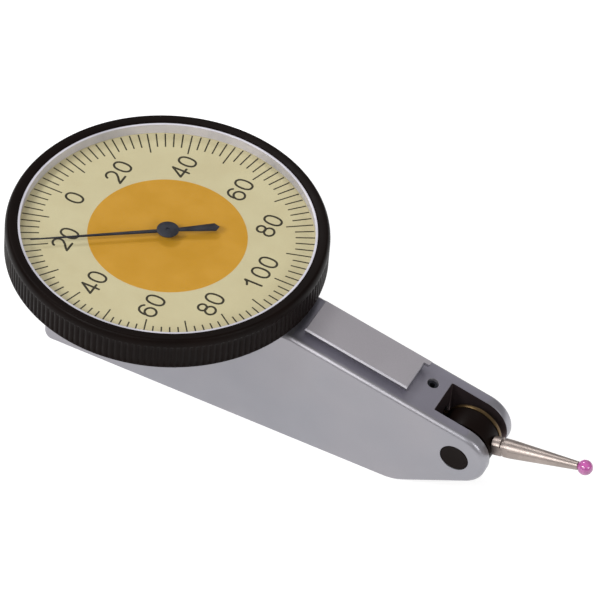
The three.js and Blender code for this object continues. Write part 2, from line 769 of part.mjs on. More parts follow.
// Crown wheel: its teeth stand on the disc and face the spindle
function crownWheel() {
  const toothFoot = -centrePinionRadius - toothModule * toothRootShare - runGap;
  const toothTop = -centrePinionRadius + toothModule * toothTopShare;
  const inner = crownRadius - faceWidth / 2;
  const outer = crownRadius + faceWidth / 2;
  const disc = tubeAcross(wheelArborRadius + pressGap, outer + runGap, toothFoot - crownThickness, toothFoot,
    wheelSteps);
  const pitch = 2 * Math.PI / crownTeeth;
  const teethAll = Array.from({ length: crownTeeth }, (_, i) => crownTooth(i * pitch, pitch, inner, outer,
    toothFoot, toothTop));
  const lightening = Array.from({ length: crownHoleCount }, (_, i) => {
    const angle = 2 * Math.PI * (i + 1 / 2) / crownHoleCount;
    const reach = crownRadius / 2;
    const hole = rodAcross(crownHoleRadius, toothFoot - crownThickness - overrun, toothFoot + overrun);
    return hole.translate(reach * Math.cos(angle), 0, reach * Math.sin(angle));
  });
  return cut(join(disc, ...teethAll), ...lightening);
}

function crownTooth(turn, pitch, inner, outer, foot, top) {
  const half = pitch * toothWidthShare / 2;
  const rootHalf = half * toothFootShare;
  const tipHalf = half * toothTipShare;
  const sunk = foot - pressGap;
  const section = [[-rootHalf, sunk], [rootHalf, sunk], [tipHalf, top], [-tipHalf, top]];
  const wall = [inner, outer].flatMap((r) => section.map(([angle, y]) => {
    const direction = Math.PI / 2 + turn + angle;
    return [r * Math.cos(direction), y, r * Math.sin(direction)];
  }));
  const faces = [0, 1, 2, 0, 2, 3, 4, 6, 5, 4, 7, 6];
  for (let i = 0; i < section.length; i += 1) {
    const next = (i + 1) % section.length;
    faces.push(i, i + section.length, next, next, i + section.length, next + section.length);
  }
  const geometry = new THREE.BufferGeometry();
  geometry.setAttribute('position', new THREE.Float32BufferAttribute(wall.flat(), 3));
  geometry.setIndex(faces);
  return geometry;
}

function crownArbor() {
  const pivot = plateInner - looseGap;
  const end = plateOuter - looseGap;
  const stem = turnedAcross([[0, -end], [wheelPivotRadius, -end], [wheelPivotRadius, -pivot],
    [wheelArborRadius, -pivot], [wheelArborRadius, pivot], [wheelPivotRadius, pivot], [wheelPivotRadius, end],
    [0, end]]);
  const firstTooth = Math.PI / crownPinionTeeth;
  const low = sectorNear - looseGap;
  const high = sectorFar + looseGap;
  return join(stem, slab(pinionOutline(crownPinionTeeth, firstTooth), low, high));
}

// Hairspring on the crown arbor: it takes up the play in the gears and brings the pointer back
function collet() {
  return tubeAcross(wheelArborRadius + pressGap, colletRadius, colletNear, colletNear + colletWidth);
}

function hairspring() {
  const count = hairspringTurns * hairspringSteps;
  const inner = colletRadius + looseGap;
  const spiral = (offset) => Array.from({ length: count + 1 }, (_, i) => {
    const share = i / count;
    const radius = inner + (hairspringOuter - inner) * share + offset;
    const angle = 2 * Math.PI * hairspringTurns * share - Math.PI / 2;
    return [radius * Math.cos(angle), radius * Math.sin(angle)];
  });
  const outline = [...spiral(hairspringStrip / 2), ...spiral(-hairspringStrip / 2).reverse()];
  return slab(outline, hairspringNear, hairspringNear + hairspringWidth);
}

function hairspringStud() {
  const stud = rodAcross(studPinRadius, hairspringNear, plateInner - seatGap);
  return stud.translate(0, 0, -hairspringOuter - studPinRadius - hairspringStrip);
}

// Sector lever: toothed arc at the rear, fork for the lever's pin at the front
function sectorLever() {
  const low = sectorNear;
  const high = sectorFar;
  const first = Math.PI - sectorPitch * (sectorTeeth - 1) / 2;
  const arcTeeth = teeth(sectorRadius, sectorPitch, sectorTeeth, first);
  const bandInner = sectorRadius - toothModule * sectorTeeth;
  const halfBand = sectorPitch * sectorTeeth / 2;
  const band = [...arcTeeth, ...arc(0, 0, bandInner, Math.PI + halfBand, Math.PI - halfBand, cornerSteps)];
  const halfArm = sectorArmWidth / 2;
  const armEnd = -bandInner - toothModule;
  const arm = [[0, -halfArm], [0, halfArm], [armEnd, halfArm], [armEnd, -halfArm]];
  const halfFork = forkHeight / 2;
  const forkEnd = forkReach + forkOverhang;
  const fork = [[0, -halfArm], [forkReach, -halfFork], [forkEnd, -halfFork], [forkEnd, halfFork],
    [forkReach, halfFork], [0, halfArm]];
  const pinRoom = drivePinRadius + runGap;
  const slot = block(forkReach - forkOverhang, forkEnd + overrun, low - overrun, high + overrun, -pinRoom,
    pinRoom);
  const bore = rodAcross(sectorArborRadius + pressGap, low - overrun, high + overrun);
  const hub = rodAcross(sectorHubRadius, low, high, wheelSteps);
  return cut(join(slab(band, low, high), slab(arm, low, high), slab(fork, low, high), hub), slot, bore);
}

function sectorArbor() {
  const pivot = plateInner - looseGap;
  const end = plateOuter - looseGap;
  return turnedAcross([[0, -end], [sectorPivotRadius, -end], [sectorPivotRadius, -pivot],
    [sectorArborRadius, -pivot], [sectorArborRadius, pivot], [sectorPivotRadius, pivot],
    [sectorPivotRadius, end], [0, end]]);
}

// Movement frame: two side plates on two spacers and two pillars
function sidePlate(low, high) {
  const top = ceiling - looseGap;
  const foot = coverSeat + sidePlateFoot;
  const c = sidePlateCorner;
  const outline = [[-sidePlateRear + c, foot], [sidePlateFront - c, foot], [sidePlateFront, foot + c],
    [sidePlateFront, top - c], [sidePlateFront - c, top], [-sidePlateRear + c, top],
    [-sidePlateRear, top - c], [-sidePlateRear, foot + c]];
  const hole = (radius, x, z) => rodAcross(radius, low - overrun, high + overrun).translate(x, 0, z);
  const jewelHole = jewelRadius + pressGap;
  const tools = [hole(jewelHole, 0, pivotHeight), hole(jewelHole, sectorForward, pivotHeight)];
  for (const x of movementScrews) tools.push(hole(pillarRadius / 2 + seatGap, x, pillarHeight));
  if (low > 0) tools.push(hole(coverScrewRadius + seatGap, 0, cockScrewHeight));
  return cut(slab(outline, low, high), ...tools);
}

function pillar() {
  const inner = plateInner - seatGap;
  const outer = plateOuter;
  const thin = pillarRadius / 2;
  return turnedAcross([[0, -outer], [thin, -outer], [thin, -inner], [pillarRadius, -inner],
    [pillarRadius, inner], [thin, inner], [thin, outer], [0, outer]], postSteps);
}

function spacer() {
  const top = ceiling - seatGap;
  const side = plateInner - seatGap;
  const box = block(-spacerLength / 2, spacerLength / 2, -side, side, top - spacerHeight, top);
  return cut(box, rod(seatScrewRadius + seatGap, top - spacerHeight - overrun, top + overrun));
}

function movementScrewShape() {
  const length = ceiling - platform + movementScrewSink + spacerHeight;
  return screw(seatScrewRadius, Math.abs(length), seatScrewHeadRadius, seatScrewHeadHeight);
}

function plateJewel(bore, side) {
  const low = side > 0 ? plateInner : -plateOuter;
  return tubeAcross(bore + runGap, jewelRadius, low + seatGap, low + sidePlateThickness - seatGap);
}

// Cock: carries the spindle's lower jewel and is screwed to the far side plate
function cock() {
  const far = plateInner - seatGap;
  const near = -jewelRadius - looseGap / 2;
  const half = cockWidth / 2;
  const arm = block(-half, half, near, far, cockFoot, cockTop);
  const foot = block(-half, half, far - sidePlateThickness, far, cockFoot, cockFoot + cockFootHeight);
  const jewelHole = rod(lowerJewelRadius + pressGap, cockFoot - overrun, cockTop + overrun);
  const screwHole = rodAcross(coverScrewRadius + seatGap, far - sidePlateThickness - overrun, far + overrun);
  return cut(join(arm, foot), jewelHole, screwHole.translate(0, 0, cockScrewHeight));
}

function lowerJewel() {
  return tube(spindlePivotRadius + runGap, lowerJewelRadius, cockFoot + seatGap, cockTop - seatGap);
}

function upperJewel() {
  const foot = plateTop - jewelThickness;
  return tube(spindleRadius + runGap, jewelRadius, foot, plateTop);
}

function cockScrew() {
  const stem = rodAcross(coverScrewRadius, plateInner - seatGap - sidePlateThickness, plateOuter);
  const reach = coverScrewRadius + overrun;
  const slot = block(-reach, reach, plateOuter - screwSlotDepth, plateOuter + overrun, -screwSlotWidth / 2,
    screwSlotWidth / 2);
  return cut(stem, slot);
}

// Lever: brass disc and arm on the pivot arbor, with the pin that drives the sector's fork
function lever() {
  const low = leverNear;
  const high = leverFar;
  const wide = leverArmWidth / 2;
  const thin = leverTipWidth / 2;
  const arm = [[0, -wide], [0, wide], [-leverReach, thin], [-leverReach, -thin]];
  const tip = rodAcross(leverTipRadius, low, high).translate(-leverReach, 0, 0);
  const disc = rodAcross(leverDiscRadius, low, high, wheelSteps);
  const boss = rodAcross(leverBossRadius, low, halfSlot - looseGap);
  const bore = rodAcross(leverArborRadius + pressGap, low - overrun, halfSlot + overrun);
  const pinHole = rodAcross(drivePinRadius + pressGap, low - overrun, high + overrun);
  pinHole.translate(-leverReach, 0, 0);
  return cut(join(slab(arm, low, high), disc, tip, boss), bore, pinHole);
}

function drivePin() {
  const pin = rodAcross(drivePinRadius, sectorNear - looseGap, leverFar);
  return pin.translate(-leverReach, 0, 0);
}

function leverArbor() {
  const shoulder = halfSlot - looseGap;
  const end = halfSlot + jewelThickness;
  return turnedAcross([[0, -end], [leverPivotRadius, -end], [leverPivotRadius, -shoulder],
    [leverArborRadius, -shoulder], [leverArborRadius, shoulder], [leverPivotRadius, shoulder],
    [leverPivotRadius, end], [0, end]]);
}

function clampCollar() {
  return tubeAcross(leverArborRadius + pressGap, collarRadius, collarOuter, collarInner);
}

// Dished washer that presses the hub against the lever's disc, so that the stylus stays where it is set
function frictionWasher() {
  const low = collarInner + runGap;
  const high = low + washerThickness;
  const wall = washerThickness / 2;
  const bore = leverArborRadius + runGap;
  return turnedAcross([[bore, high - wall], [washerRadius, low], [washerRadius, low + wall], [bore, high]]);
}

// Swivel hub: the drum in the clevis that the stylus screws into
function swivelHub() {
  const drum = rodAcross(hubRadius, hubNear, hubFar, wheelSteps);
  const bore = rodAcross(leverArborRadius + runGap, hubNear - overrun, hubFar + overrun);
  const socket = rod(studRadius + seatGap, hubRadius - studLength - seatGap, hubRadius + overrun);
  return cut(drum, bore, socket.rotateY(Math.PI / 2).translate(0, stylusPlane, 0));
}

// Stylus: stud, collar, neck, root and tapered shank with two wrench flats, drawn along X
function stylusShank() {
  const collarFoot = hubRadius + 2 * seatGap;
  const collarTop = collarFoot + wrenchCollarLength;
  const neckTop = collarTop + shankNeckLength;
  const root = neckTop + shankRootLength;
  const tip = stylusReach - ballRadius + (ballRadius - Math.sqrt(ballRadius ** 2 - shankTipRadius ** 2));
  const end = tip - seatGap;
  const studFoot = hubRadius - studLength;
  const profile = [[0, studFoot], [studRadius, studFoot], [studRadius, collarFoot],
    [wrenchCollarRadius, collarFoot], [wrenchCollarRadius, collarTop], [shankNeckRadius, collarTop],
    [shankNeckRadius, neckTop], [shankRootRadius, neckTop], [shankRootRadius, root], [shankTipRadius, end],
    [0, end]];
  const half = wrenchFlatWidth / 2;
  const flats = [-1, 1].map((side) => {
    const [low, high] = side > 0 ? [half, half + overrun] : [-half - overrun, -half];
    const flatEnd = collarFoot + wrenchFlatLength;
    return block(-wrenchCollarRadius, wrenchCollarRadius, low, high, collarFoot, flatEnd);
  });
  const socket = new THREE.SphereGeometry(ballRadius + seatGap, smallSteps, smallSteps / 2);
  const shank = cut(turned(profile), ...flats, socket.translate(0, 0, stylusReach));
  return shank.rotateY(Math.PI / 2).translate(0, stylusPlane, 0);
}

function ball() {
  const sphere = new THREE.SphereGeometry(ballRadius, smallSteps, smallSteps / 2);
  return closed(sphere.rotateZ(Math.PI / 2).translate(stylusReach, stylusPlane, 0));
}

// Assembly
function caseGroup() {
  const group = new THREE.Group();
  group.add(piece('body', bodyBlock(), 'satin'));
  group.add(piece('underside_cover', undersideCover(), 'satin'));
  group.add(...coverScrews());
  group.add(piece('lock_screw', lockScrew(), 'blued'));
  for (const [side, turn] of [['near', Math.PI], ['far', 0]]) {
    const bearing = new THREE.Group();
    bearing.add(piece(`pivot_plug_${side}`, pivotPlug(), 'blackened'));
    bearing.add(piece(`pivot_jewel_${side}`, pivotJewel(), 'jewel'));
    bearing.position.set(pivotForward, 0, pivotHeight);
    bearing.rotation.z = turn;
    group.add(bearing);
  }
  return group;
}

function headGroup() {
  const group = new THREE.Group();
  group.add(piece('head_plate', headPlate(), 'satin'));
  group.add(...headScrews());
  group.add(piece('bezel_spring', bezelSpring(), 'spring'));
  group.add(piece('bezel_ring', bezelRing(), 'blackened'));
  group.add(piece('dial_plate', dialPlate(), 'printed'));
  group.add(piece('dial_ring', dialRing(), 'bright'));
  group.add(piece('crystal', crystal(), 'clear'));
  return group;
}

function pointerGroup() {
  const group = new THREE.Group();
  const needle = piece('pointer', pointerNeedle(), 'blued');
  needle.rotation.z = pointerRestAngle;
  group.add(needle);
  group.add(piece('pointer_cap', pointerCap(), 'blued'));
  group.add(piece('spindle', spindle(), 'steel'));
  return group;
}

function movementFrame() {
  const group = new THREE.Group();
  group.add(piece('side_plate_near', sidePlate(-plateOuter, -plateInner), 'brass'));
  group.add(piece('side_plate_far', sidePlate(plateInner, plateOuter), 'brass'));
  for (const [name, x] of [['rear', movementScrews[0]], ['front', movementScrews[1]]]) {
    const post = piece(`pillar_${name}`, pillar(), 'brass');
    post.position.set(x, 0, pillarHeight);
    const bar = piece(`spacer_${name}`, spacer(), 'brass');
    bar.position.x = x;
    const fixing = piece(`movement_screw_${name}`, movementScrewShape(), 'steel');
    fixing.position.set(x, 0, platform - seatScrewHeadHeight);
    group.add(post, bar, fixing);
  }
  group.add(piece('cock', cock(), 'brass'));
  group.add(piece('cock_screw', cockScrew().translate(0, 0, cockScrewHeight), 'steel'));
  group.add(piece('spindle_jewel_lower', lowerJewel(), 'jewel'));
  group.add(piece('spindle_jewel_upper', upperJewel(), 'jewel'));
  for (const [side, sign] of [['near', -1], ['far', 1]]) {
    const crownJewel = piece(`crown_jewel_${side}`, plateJewel(wheelPivotRadius, sign), 'jewel');
    crownJewel.position.z = pivotHeight;
    const sectorJewel = piece(`sector_jewel_${side}`, plateJewel(sectorPivotRadius, sign), 'jewel');
    sectorJewel.position.set(sectorForward, 0, pivotHeight);
    group.add(crownJewel, sectorJewel);
  }
  return group;
}

function gearGroups() {
  const crown = new THREE.Group();
  crown.add(piece('crown_wheel', crownWheel(), 'brass'));
  crown.add(piece('crown_arbor', crownArbor(), 'steel'));
  crown.add(piece('collet', collet(), 'brass'));
  crown.add(piece('hairspring', hairspring(), 'spring'));
  crown.add(piece('hairspring_stud', hairspringStud(), 'brass'));
  crown.position.z = pivotHeight;
  const sector = new THREE.Group();
  sector.add(piece('sector_lever', sectorLever(), 'brass'));
  sector.add(piece('sector_arbor', sectorArbor(), 'steel'));
  sector.position.set(sectorForward, 0, pivotHeight);
  return [crown, sector];
}

function leverGroup() {
  const group = new THREE.Group();
  group.add(piece('lever', lever(), 'brass'));
  group.add(piece('lever_arbor', leverArbor(), 'steel'));
  group.add(piece('drive_pin', drivePin(), 'steel'));
  group.add(piece('friction_washer', frictionWasher(), 'spring'));
  group.add(piece('clamp_collar', clampCollar(), 'blued'));
  group.position.set(pivotForward, 0, pivotHeight);
  const stylus = new THREE.Group();
  stylus.add(piece('swivel_hub', swivelHub(), 'blackened'));
  stylus.add(piece('stylus_shank', stylusShank(), 'steel'));
  stylus.add(piece('ball', ball(), 'jewel'));
  stylus.rotation.y = -stylusAngle;
  group.add(stylus);
  return group;
}

const indicator = new THREE.Group();
indicator.add(caseGroup(), headGroup(), movementFrame(), pointerGroup(), ...gearGroups(), leverGroup());
indicator.position.z = -underside;

export default indicator;
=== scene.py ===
"""Dial test indicator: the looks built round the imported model.

Lengths are in metres. X runs from the dial towards the stylus, Z up out of the dial and Y across the
narrow body. The dial's axis is at x = 0, y = 0, and the underside lies on z = 0.
"""

import math

import bmesh
import bpy
from bpy.props import FloatProperty, FloatVectorProperty, IntProperty, PointerProperty
from mathutils import Matrix, Vector


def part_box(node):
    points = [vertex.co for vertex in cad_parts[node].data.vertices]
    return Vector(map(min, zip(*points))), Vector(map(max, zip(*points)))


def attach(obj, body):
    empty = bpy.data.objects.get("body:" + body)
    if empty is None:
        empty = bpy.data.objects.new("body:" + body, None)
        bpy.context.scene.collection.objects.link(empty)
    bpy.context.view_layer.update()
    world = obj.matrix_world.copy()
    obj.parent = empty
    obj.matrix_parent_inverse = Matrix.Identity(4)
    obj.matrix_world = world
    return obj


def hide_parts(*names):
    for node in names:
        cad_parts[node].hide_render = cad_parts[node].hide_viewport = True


bl_info = {
    "name": "Dial test indicator",
    "version": (1, 0, 0),
    "blender": (4, 5, 0),
    "location": "3D View > Sidebar > Indicator",
    "description": "Builds the surfaces, the dial and the stage of a dial test indicator",
    "category": "Object",
}

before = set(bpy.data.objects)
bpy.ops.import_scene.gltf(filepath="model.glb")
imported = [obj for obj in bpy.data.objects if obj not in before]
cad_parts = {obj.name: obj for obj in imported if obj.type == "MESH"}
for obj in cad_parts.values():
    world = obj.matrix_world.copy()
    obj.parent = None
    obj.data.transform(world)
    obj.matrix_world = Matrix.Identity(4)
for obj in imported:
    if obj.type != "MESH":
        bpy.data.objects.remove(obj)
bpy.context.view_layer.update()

# Fits, tolerances and fineness
PRESS_GAP = 0.00001
SEAT_GAP = 0.00003
RUN_GAP = 0.00003
LOOSE_GAP = 0.0001
OVERRUN = 0.001
AXIS_TOLERANCE = 1e-7
FACE_TOLERANCE = 5e-7
SHARP_ANGLE = math.radians(32)
CORNER_ANGLE = math.radians(30)
STRAIGHT_ANGLE = math.radians(170)
CORNER_SHARE = 0.45
ROUND_STEPS = 4
CAP_STEPS = 8
SMALL_STEPS = 48
MEDIUM_STEPS = 96
LARGE_STEPS = 256
GROOVE_STEPS = 8
CUTTER_STEPS = 64


def length(name, default, description):
    return FloatProperty(name=name, description=description, default=default, min=0.0, precision=5,
                         subtype="DISTANCE", unit="LENGTH")


def angle(name, default, description):
    return FloatProperty(name=name, description=description, default=math.radians(default),
                         subtype="ANGLE", unit="ROTATION")


def share(name, default, description):
    return FloatProperty(name=name, description=description, default=default, min=0.0, max=1.0,
                         subtype="FACTOR")


def amount(name, default, description):
    return FloatProperty(name=name, description=description, default=default, min=0.0)


def count(name, default, description):
    return IntProperty(name=name, description=description, default=default, min=1)


def colour(name, default, description):
    return FloatVectorProperty(name=name, description=description, default=default, size=3, min=0.0, max=1.0,
                               subtype="COLOR_GAMMA")


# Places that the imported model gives

def middle(node):
    low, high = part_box(node)
    return (low + high) / 2


def half_width(node, axis="x"):
    low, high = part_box(node)
    return (getattr(high, axis) - getattr(low, axis)) / 2


BODY_LOW, BODY_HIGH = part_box("body")
PLUG_LOW, PLUG_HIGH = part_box("pivot_plug_near")
DIAL_LOW, DIAL_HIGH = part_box("dial_plate")
BEZEL_LOW, BEZEL_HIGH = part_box("bezel_ring")
RING_LOW, RING_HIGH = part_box("dial_ring")
CRYSTAL_LOW, CRYSTAL_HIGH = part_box("crystal")
PLATE_LOW, PLATE_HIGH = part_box("head_plate")
NEEDLE_LOW, NEEDLE_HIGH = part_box("pointer")
CAP_LOW, CAP_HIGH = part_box("pointer_cap")
LEVER_LOW, LEVER_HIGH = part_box("lever")
COVER_LOW, COVER_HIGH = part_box("underside_cover")
COVER_SCREW_LOW, COVER_SCREW_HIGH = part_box("cover_screw_rear")

PIVOT = middle("pivot_plug_near")
PIVOT_PLACE = Matrix.Translation((PIVOT.x, 0, PIVOT.z))
HALF_WIDTH = BODY_HIGH.y
HALF_SLOT = -PLUG_HIGH.y - SEAT_GAP
NOSE_RADIUS = BODY_HIGH.x - PIVOT.x
PLUG_RADIUS = half_width("pivot_plug_near")
HUB_RADIUS = half_width("swivel_hub")
CAP_RADIUS = half_width("pointer_cap")
LOCK_RADIUS = half_width("lock_screw", "y")
WIRE_RADIUS = half_width("bezel_spring", "z")
HALF_GROOVE = WIRE_RADIUS + 2 * RUN_GAP
SPRING_MIDDLE = middle("bezel_spring").z
PLATFORM = PLATE_LOW.z - SEAT_GAP
BEZEL_RADIUS = BEZEL_HIGH.x
RING_BORE = CRYSTAL_HIGH.x + PRESS_GAP
SECTOR_FORWARD = middle("sector_arbor").x
LOCK_PLACE = middle("lock_screw")
FACE = DIAL_HIGH.z

HEAD_SCREWS = ("head_screw_rear", "head_screw_front")
MOVEMENT_SCREWS = ("movement_screw_rear", "movement_screw_front")
COVER_SCREWS = ("cover_screw_rear", "cover_screw_front")

# Shares: the form of the long edges' round, where a half is an arc; the ridge's length and width against the
# needle's; and the part of the cap's height that is domed
EDGE_FORM = 0.38
RIDGE_LENGTH = 0.995
RIDGE_WIDTH = 0.45
CAP_DOME = 0.45

# Fine sizes of the body: its rounds, and the rooms inside it
REAR_CORNER = 0.0012
TOP_CORNER = 0.0008
HEEL_RADIUS = 0.006
PLATFORM_TUCK = 0.0007
CUT_CHAMFER = 0.00007
SLOT_CLEARANCE = 0.00026
SLOT_RADIUS = 0.00018
RAIL_CHAMFER = 0.0002
RAIL_EDGE = 0.0001
EAR_THICKNESS = 0.00045
EAR_ROUND = 0.0003
HOLLOW_WALL = 0.0013
CEILING_THICKNESS = 0.0016
SHOULDER_THICKNESS = 0.002
SOLID_NOSE = 0.0072
HOLLOW_STEP = 0.00415
TUNNEL_WIDTH = 0.0011
TUNNEL_HEIGHT = 0.004
COVER_LEDGE = 0.0026
COVER_ROUND = 0.00012
SPINDLE_HOLE = 0.001

# Fine sizes of the bearing plugs and the locking screw
PLUG_CHAMFER = 0.0001
PLUG_DISH_DEPTH = 0.00004
PLUG_POCKET = 0.0007
LOCK_DEPTH = 0.0024
LOCK_SINK = 0.00035
LOCK_LENGTH = 0.0019
KEY_DEPTH = 0.0009

# Fine sizes of the bezel and the pieces that it holds
LIP_SLOPE = 0.00015
LIP_BEVEL = 0.0002
LIP_BEVEL_DROP = 0.00005
LIP_LEAN = 0.00005
LIP_REACH = 0.00015
GROOVE_RUN_OUT = 0.00022
SKIRT_WALL = 0.00129
WEB_REACH = 0.00105
WEB_THICKNESS = 0.00033
SPRING_ROOM = 0.00021
RING_EDGE = 0.00003
CRYSTAL_EDGE = 0.00005

# Fine sizes of the head plate and of the printing
PLATE_EDGE = 0.0002
FLANGE_THICKNESS = 0.0019
FLANGE_OVERHANG = 0.00225
SPINDLE_BORE = 0.00045
PRINT_FILM = 0.000012

# Fine sizes of the pointer and its cap
TIP_GAP = 0.00125
TAIL_POINT = 0.00055
RIDGE_FALL = 0.00007
CAP_BORE = 0.00026
CAP_STEM = 0.0007
CAP_FOOT = 0.001

# Fine sizes of the lever and of the stud in the drum
LEVER_SHEET = 0.0005
DISC_RIM = 0.00008
PIN_WALL = 0.00055
BOSS_RADIUS = 0.0013
ARBOR_RADIUS = 0.0008
STUD_RADIUS = 0.00055
STUD_LENGTH = 0.0017

PLATFORM_FRONT = BEZEL_RADIUS - PLATFORM_TUCK
SLOT_REAR = PIVOT.x - HUB_RADIUS - SLOT_CLEARANCE


class BodySizes(bpy.types.PropertyGroup):
    """Sizes of the body, its rail and its clevis"""
    edge_round: length("Edge round", 0.0006, "Round along the body's long edges")
    chin_angle: angle("Chin angle", 27.5, "Rise of the chin under the nose")
    rail_width: length("Rail width", 0.00592, "Width of the dovetail rail's top")
    rail_height: length("Rail height", 0.00135, "Height of the rail above the shoulder")
    rail_start: length("Rail start", 0.0011, "Gap between the platform's end and the rail")
    rail_end_gap: length("Rail end gap", 0.00218, "Gap between the rail's end and the locking screw")
    rail_angle: angle("Rail angle", 60.0, "Angle of the dovetail's flanks")
    ear_width: length("Ear width", 0.0009, "Width of the ear at the front of the rail's far edge")
    ear_length: length("Ear length", 0.00073, "How far that ear runs past the rail")


class ScrewSizes(bpy.types.PropertyGroup):
    """Sizes of the screws"""
    radius: length("Radius", 0.0008, "Thread radius of the seat screws")
    head_radius: length("Head radius", 0.0014, "Head radius of the seat screws")
    head_height: length("Head height", 0.0008, "Head height of the seat screws")
    small_radius: length("Small radius", 0.0006, "Thread radius of the cover screws")
    small_head_radius: length("Small head radius", 0.00095, "Head radius of the cover screws")
    small_head_height: length("Small head height", 0.0005, "Head height of the cover screws")
    slot_width: length("Slot width", 0.0003, "Width of a screw's slot")
    slot_depth: length("Slot depth", 0.0003, "Depth of a screw's slot")
    edge: length("Edge", 0.0001, "Broken edge of a screw head")
    key_radius: length("Key radius", 0.00042, "Corner radius of the locking screw's socket")


class HeadSizes(bpy.types.PropertyGroup):
    """Sizes of the bezel and the ring round the dial"""
    crown_height: length("Crown height", 0.0008, "Where the grooves end, above the dial's face")
    rim_setback: length("Rim setback", 0.00056, "How far the rim's top lies inside its widest")
    foot_round: length("Foot round", 0.00022, "Round of the bezel's lower edge")
    groove_count: count("Groove count", 160, "Grooves round the bezel")
    groove_depth: length("Groove depth", 0.00014, "Depth of a groove")
    foot_band: length("Foot band", 0.0003, "Height of the plain band under the grooves")
    wall: length("Wall", 0.00105, "Wall of the bezel beside the dial")
    ring_lean: length("Ring lean", 0.00014, "How far the bright ring leans inwards at its top")


class DialSizes(bpy.types.PropertyGroup):
    """Sizes of what is printed on the dial"""
    disc_radius: length("Disc radius", 0.00997, "Radius of the orange disc")
    divisions: count("Divisions", 100, "Divisions round the dial")
    long_every: count("Long every", 5, "Every how many divisions the line is long")
    line_outer: length("Line outer", 0.01834, "Radius where the lines end")
    long_inner: length("Long inner", 0.01492, "Radius where a long line starts")
    short_inner: length("Short inner", 0.01592, "Radius where a short line starts")
    line_width: length("Line width", 0.00018, "Width of a line")
    digit_height: length("Digit height", 0.00228, "Height of a digit along its stroke's middle")
    digit_width: length("Digit width", 0.0014, "Width of a nought along its stroke's middle")
    digit_pitch: length("Digit pitch", 0.00207, "Distance from one digit to the next")
    stroke: length("Stroke", 0.00029, "Width of a digit's stroke")


class PointerSizes(bpy.types.PropertyGroup):
    """Sizes of the pointer and its cap"""
    rest_angle: angle("Rest angle", 215.8, "Where the pointer stands at rest")
    tip_width: length("Tip width", 0.00017, "Width of the needle at its tip")
    waist_width: length("Waist width", 0.00062, "Width of the needle at the cap")
    tail: length("Tail", 0.0065, "Length of the tail")
    tail_width: length("Tail width", 0.00135, "Greatest width of the tail")


class StylusSizes(bpy.types.PropertyGroup):
    """Sizes of the lever, the drum and the stylus"""
    tilt: angle("Tilt", 11.58, "Rise of the stylus at rest")
    reach: length("Reach", 0.016, "Distance of the ball's middle from the pivot")
    arm_width: length("Arm width", 0.0024, "Width of the lever's arm at the pivot")
    arm_tip_width: length("Arm tip width", 0.0015, "Width of the lever's arm at the pin")
    collar_radius: length("Collar radius", 0.0012, "Radius of the wrench collar")
    collar_length: length("Collar length", 0.0011, "Length of the wrench collar")
    neck_radius: length("Neck radius", 0.00092, "Radius of the neck")
    neck_length: length("Neck length", 0.0003, "Length of the neck")
    root_radius: length("Root radius", 0.00119, "Radius of the shank's root")
    root_length: length("Root length", 0.001, "Length of the shank's cylindrical root")
    tip_radius: length("Tip radius", 0.00055, "Radius of the shank at the ball")
    flat_width: length("Flat width", 0.0018, "Distance across the wrench flats")
    flat_length: length("Flat length", 0.0022, "Length of the wrench flats")
    edge: length("Edge", 0.00006, "Broken edges of the turned pieces")
    ball_radius: length("Ball radius", 0.001, "Radius of the ruby ball")


class Finishes(bpy.types.PropertyGroup):
    """Colours and roughness of the surfaces"""
    satin: colour("Satin steel", (0.63, 0.62, 0.64), "Body and rail")
    satin_cool: colour("Satin steel, cool", (0.60, 0.60, 0.625), "Second tone of the body")
    # Rail top: a lighter copy of the satin steel, painted light on the rail's top
    ground: colour("Ground steel", (0.765, 0.75, 0.77), "Top of the rail")
    # Shoulder and platform: a darker, bluer copy of the satin steel, painted shade beside the rail and under
    # the bezel
    milled: colour("Milled steel", (0.61, 0.60, 0.645), "Shoulder and platform")
    # Inside of the clevis slot: a dark copy of the satin steel, painted shade in the slot
    slot: colour("Slot shade", (0.36, 0.31, 0.32), "Inside of the clevis slot")
    satin_roughness: share("Satin roughness", 0.36, "Roughness of the body")
    stylus: colour("Stylus steel", (0.66, 0.615, 0.59), "Stylus shank")
    screw: colour("Screw steel", (0.60, 0.59, 0.57), "Screws and arbors")
    blued: colour("Blued steel", (0.17, 0.175, 0.20), "Pointer and locking screw")
    black: colour("Black metal", (0.075, 0.044, 0.034), "Bezel, plugs and drum")
    black_worn: colour("Black metal, worn", (0.135, 0.095, 0.08), "Thin places of the black finish")
    bright: colour("Bright ring", (0.86, 0.85, 0.885), "Ring round the dial")
    bright_dull: colour("Bright ring, dull", (0.76, 0.755, 0.79), "Second tone of the ring")
    dial: colour("Dial", (0.82, 0.785, 0.625), "Dial plate")
    dial_aged: colour("Dial, aged", (0.80, 0.76, 0.60), "Second tone of the dial")
    disc: colour("Disc", (0.81, 0.60, 0.16), "Disc on the dial")
    disc_deep: colour("Disc, deep", (0.78, 0.57, 0.11), "Second tone of the disc")
    ink: colour("Ink", (0.20, 0.18, 0.10), "Lines and numbers")
    brass: colour("Brass", (0.44, 0.365, 0.255), "Lever and movement")
    brass_dark: colour("Brass, dark", (0.34, 0.27, 0.18), "Tarnish on the brass")
    spring: colour("Spring steel", (0.36, 0.38, 0.44), "Springs and washer")
    ruby: colour("Ruby", (0.82, 0.40, 0.71), "Ball")
    ruby_deep: colour("Ruby, deep", (0.62, 0.08, 0.42), "Jewels")


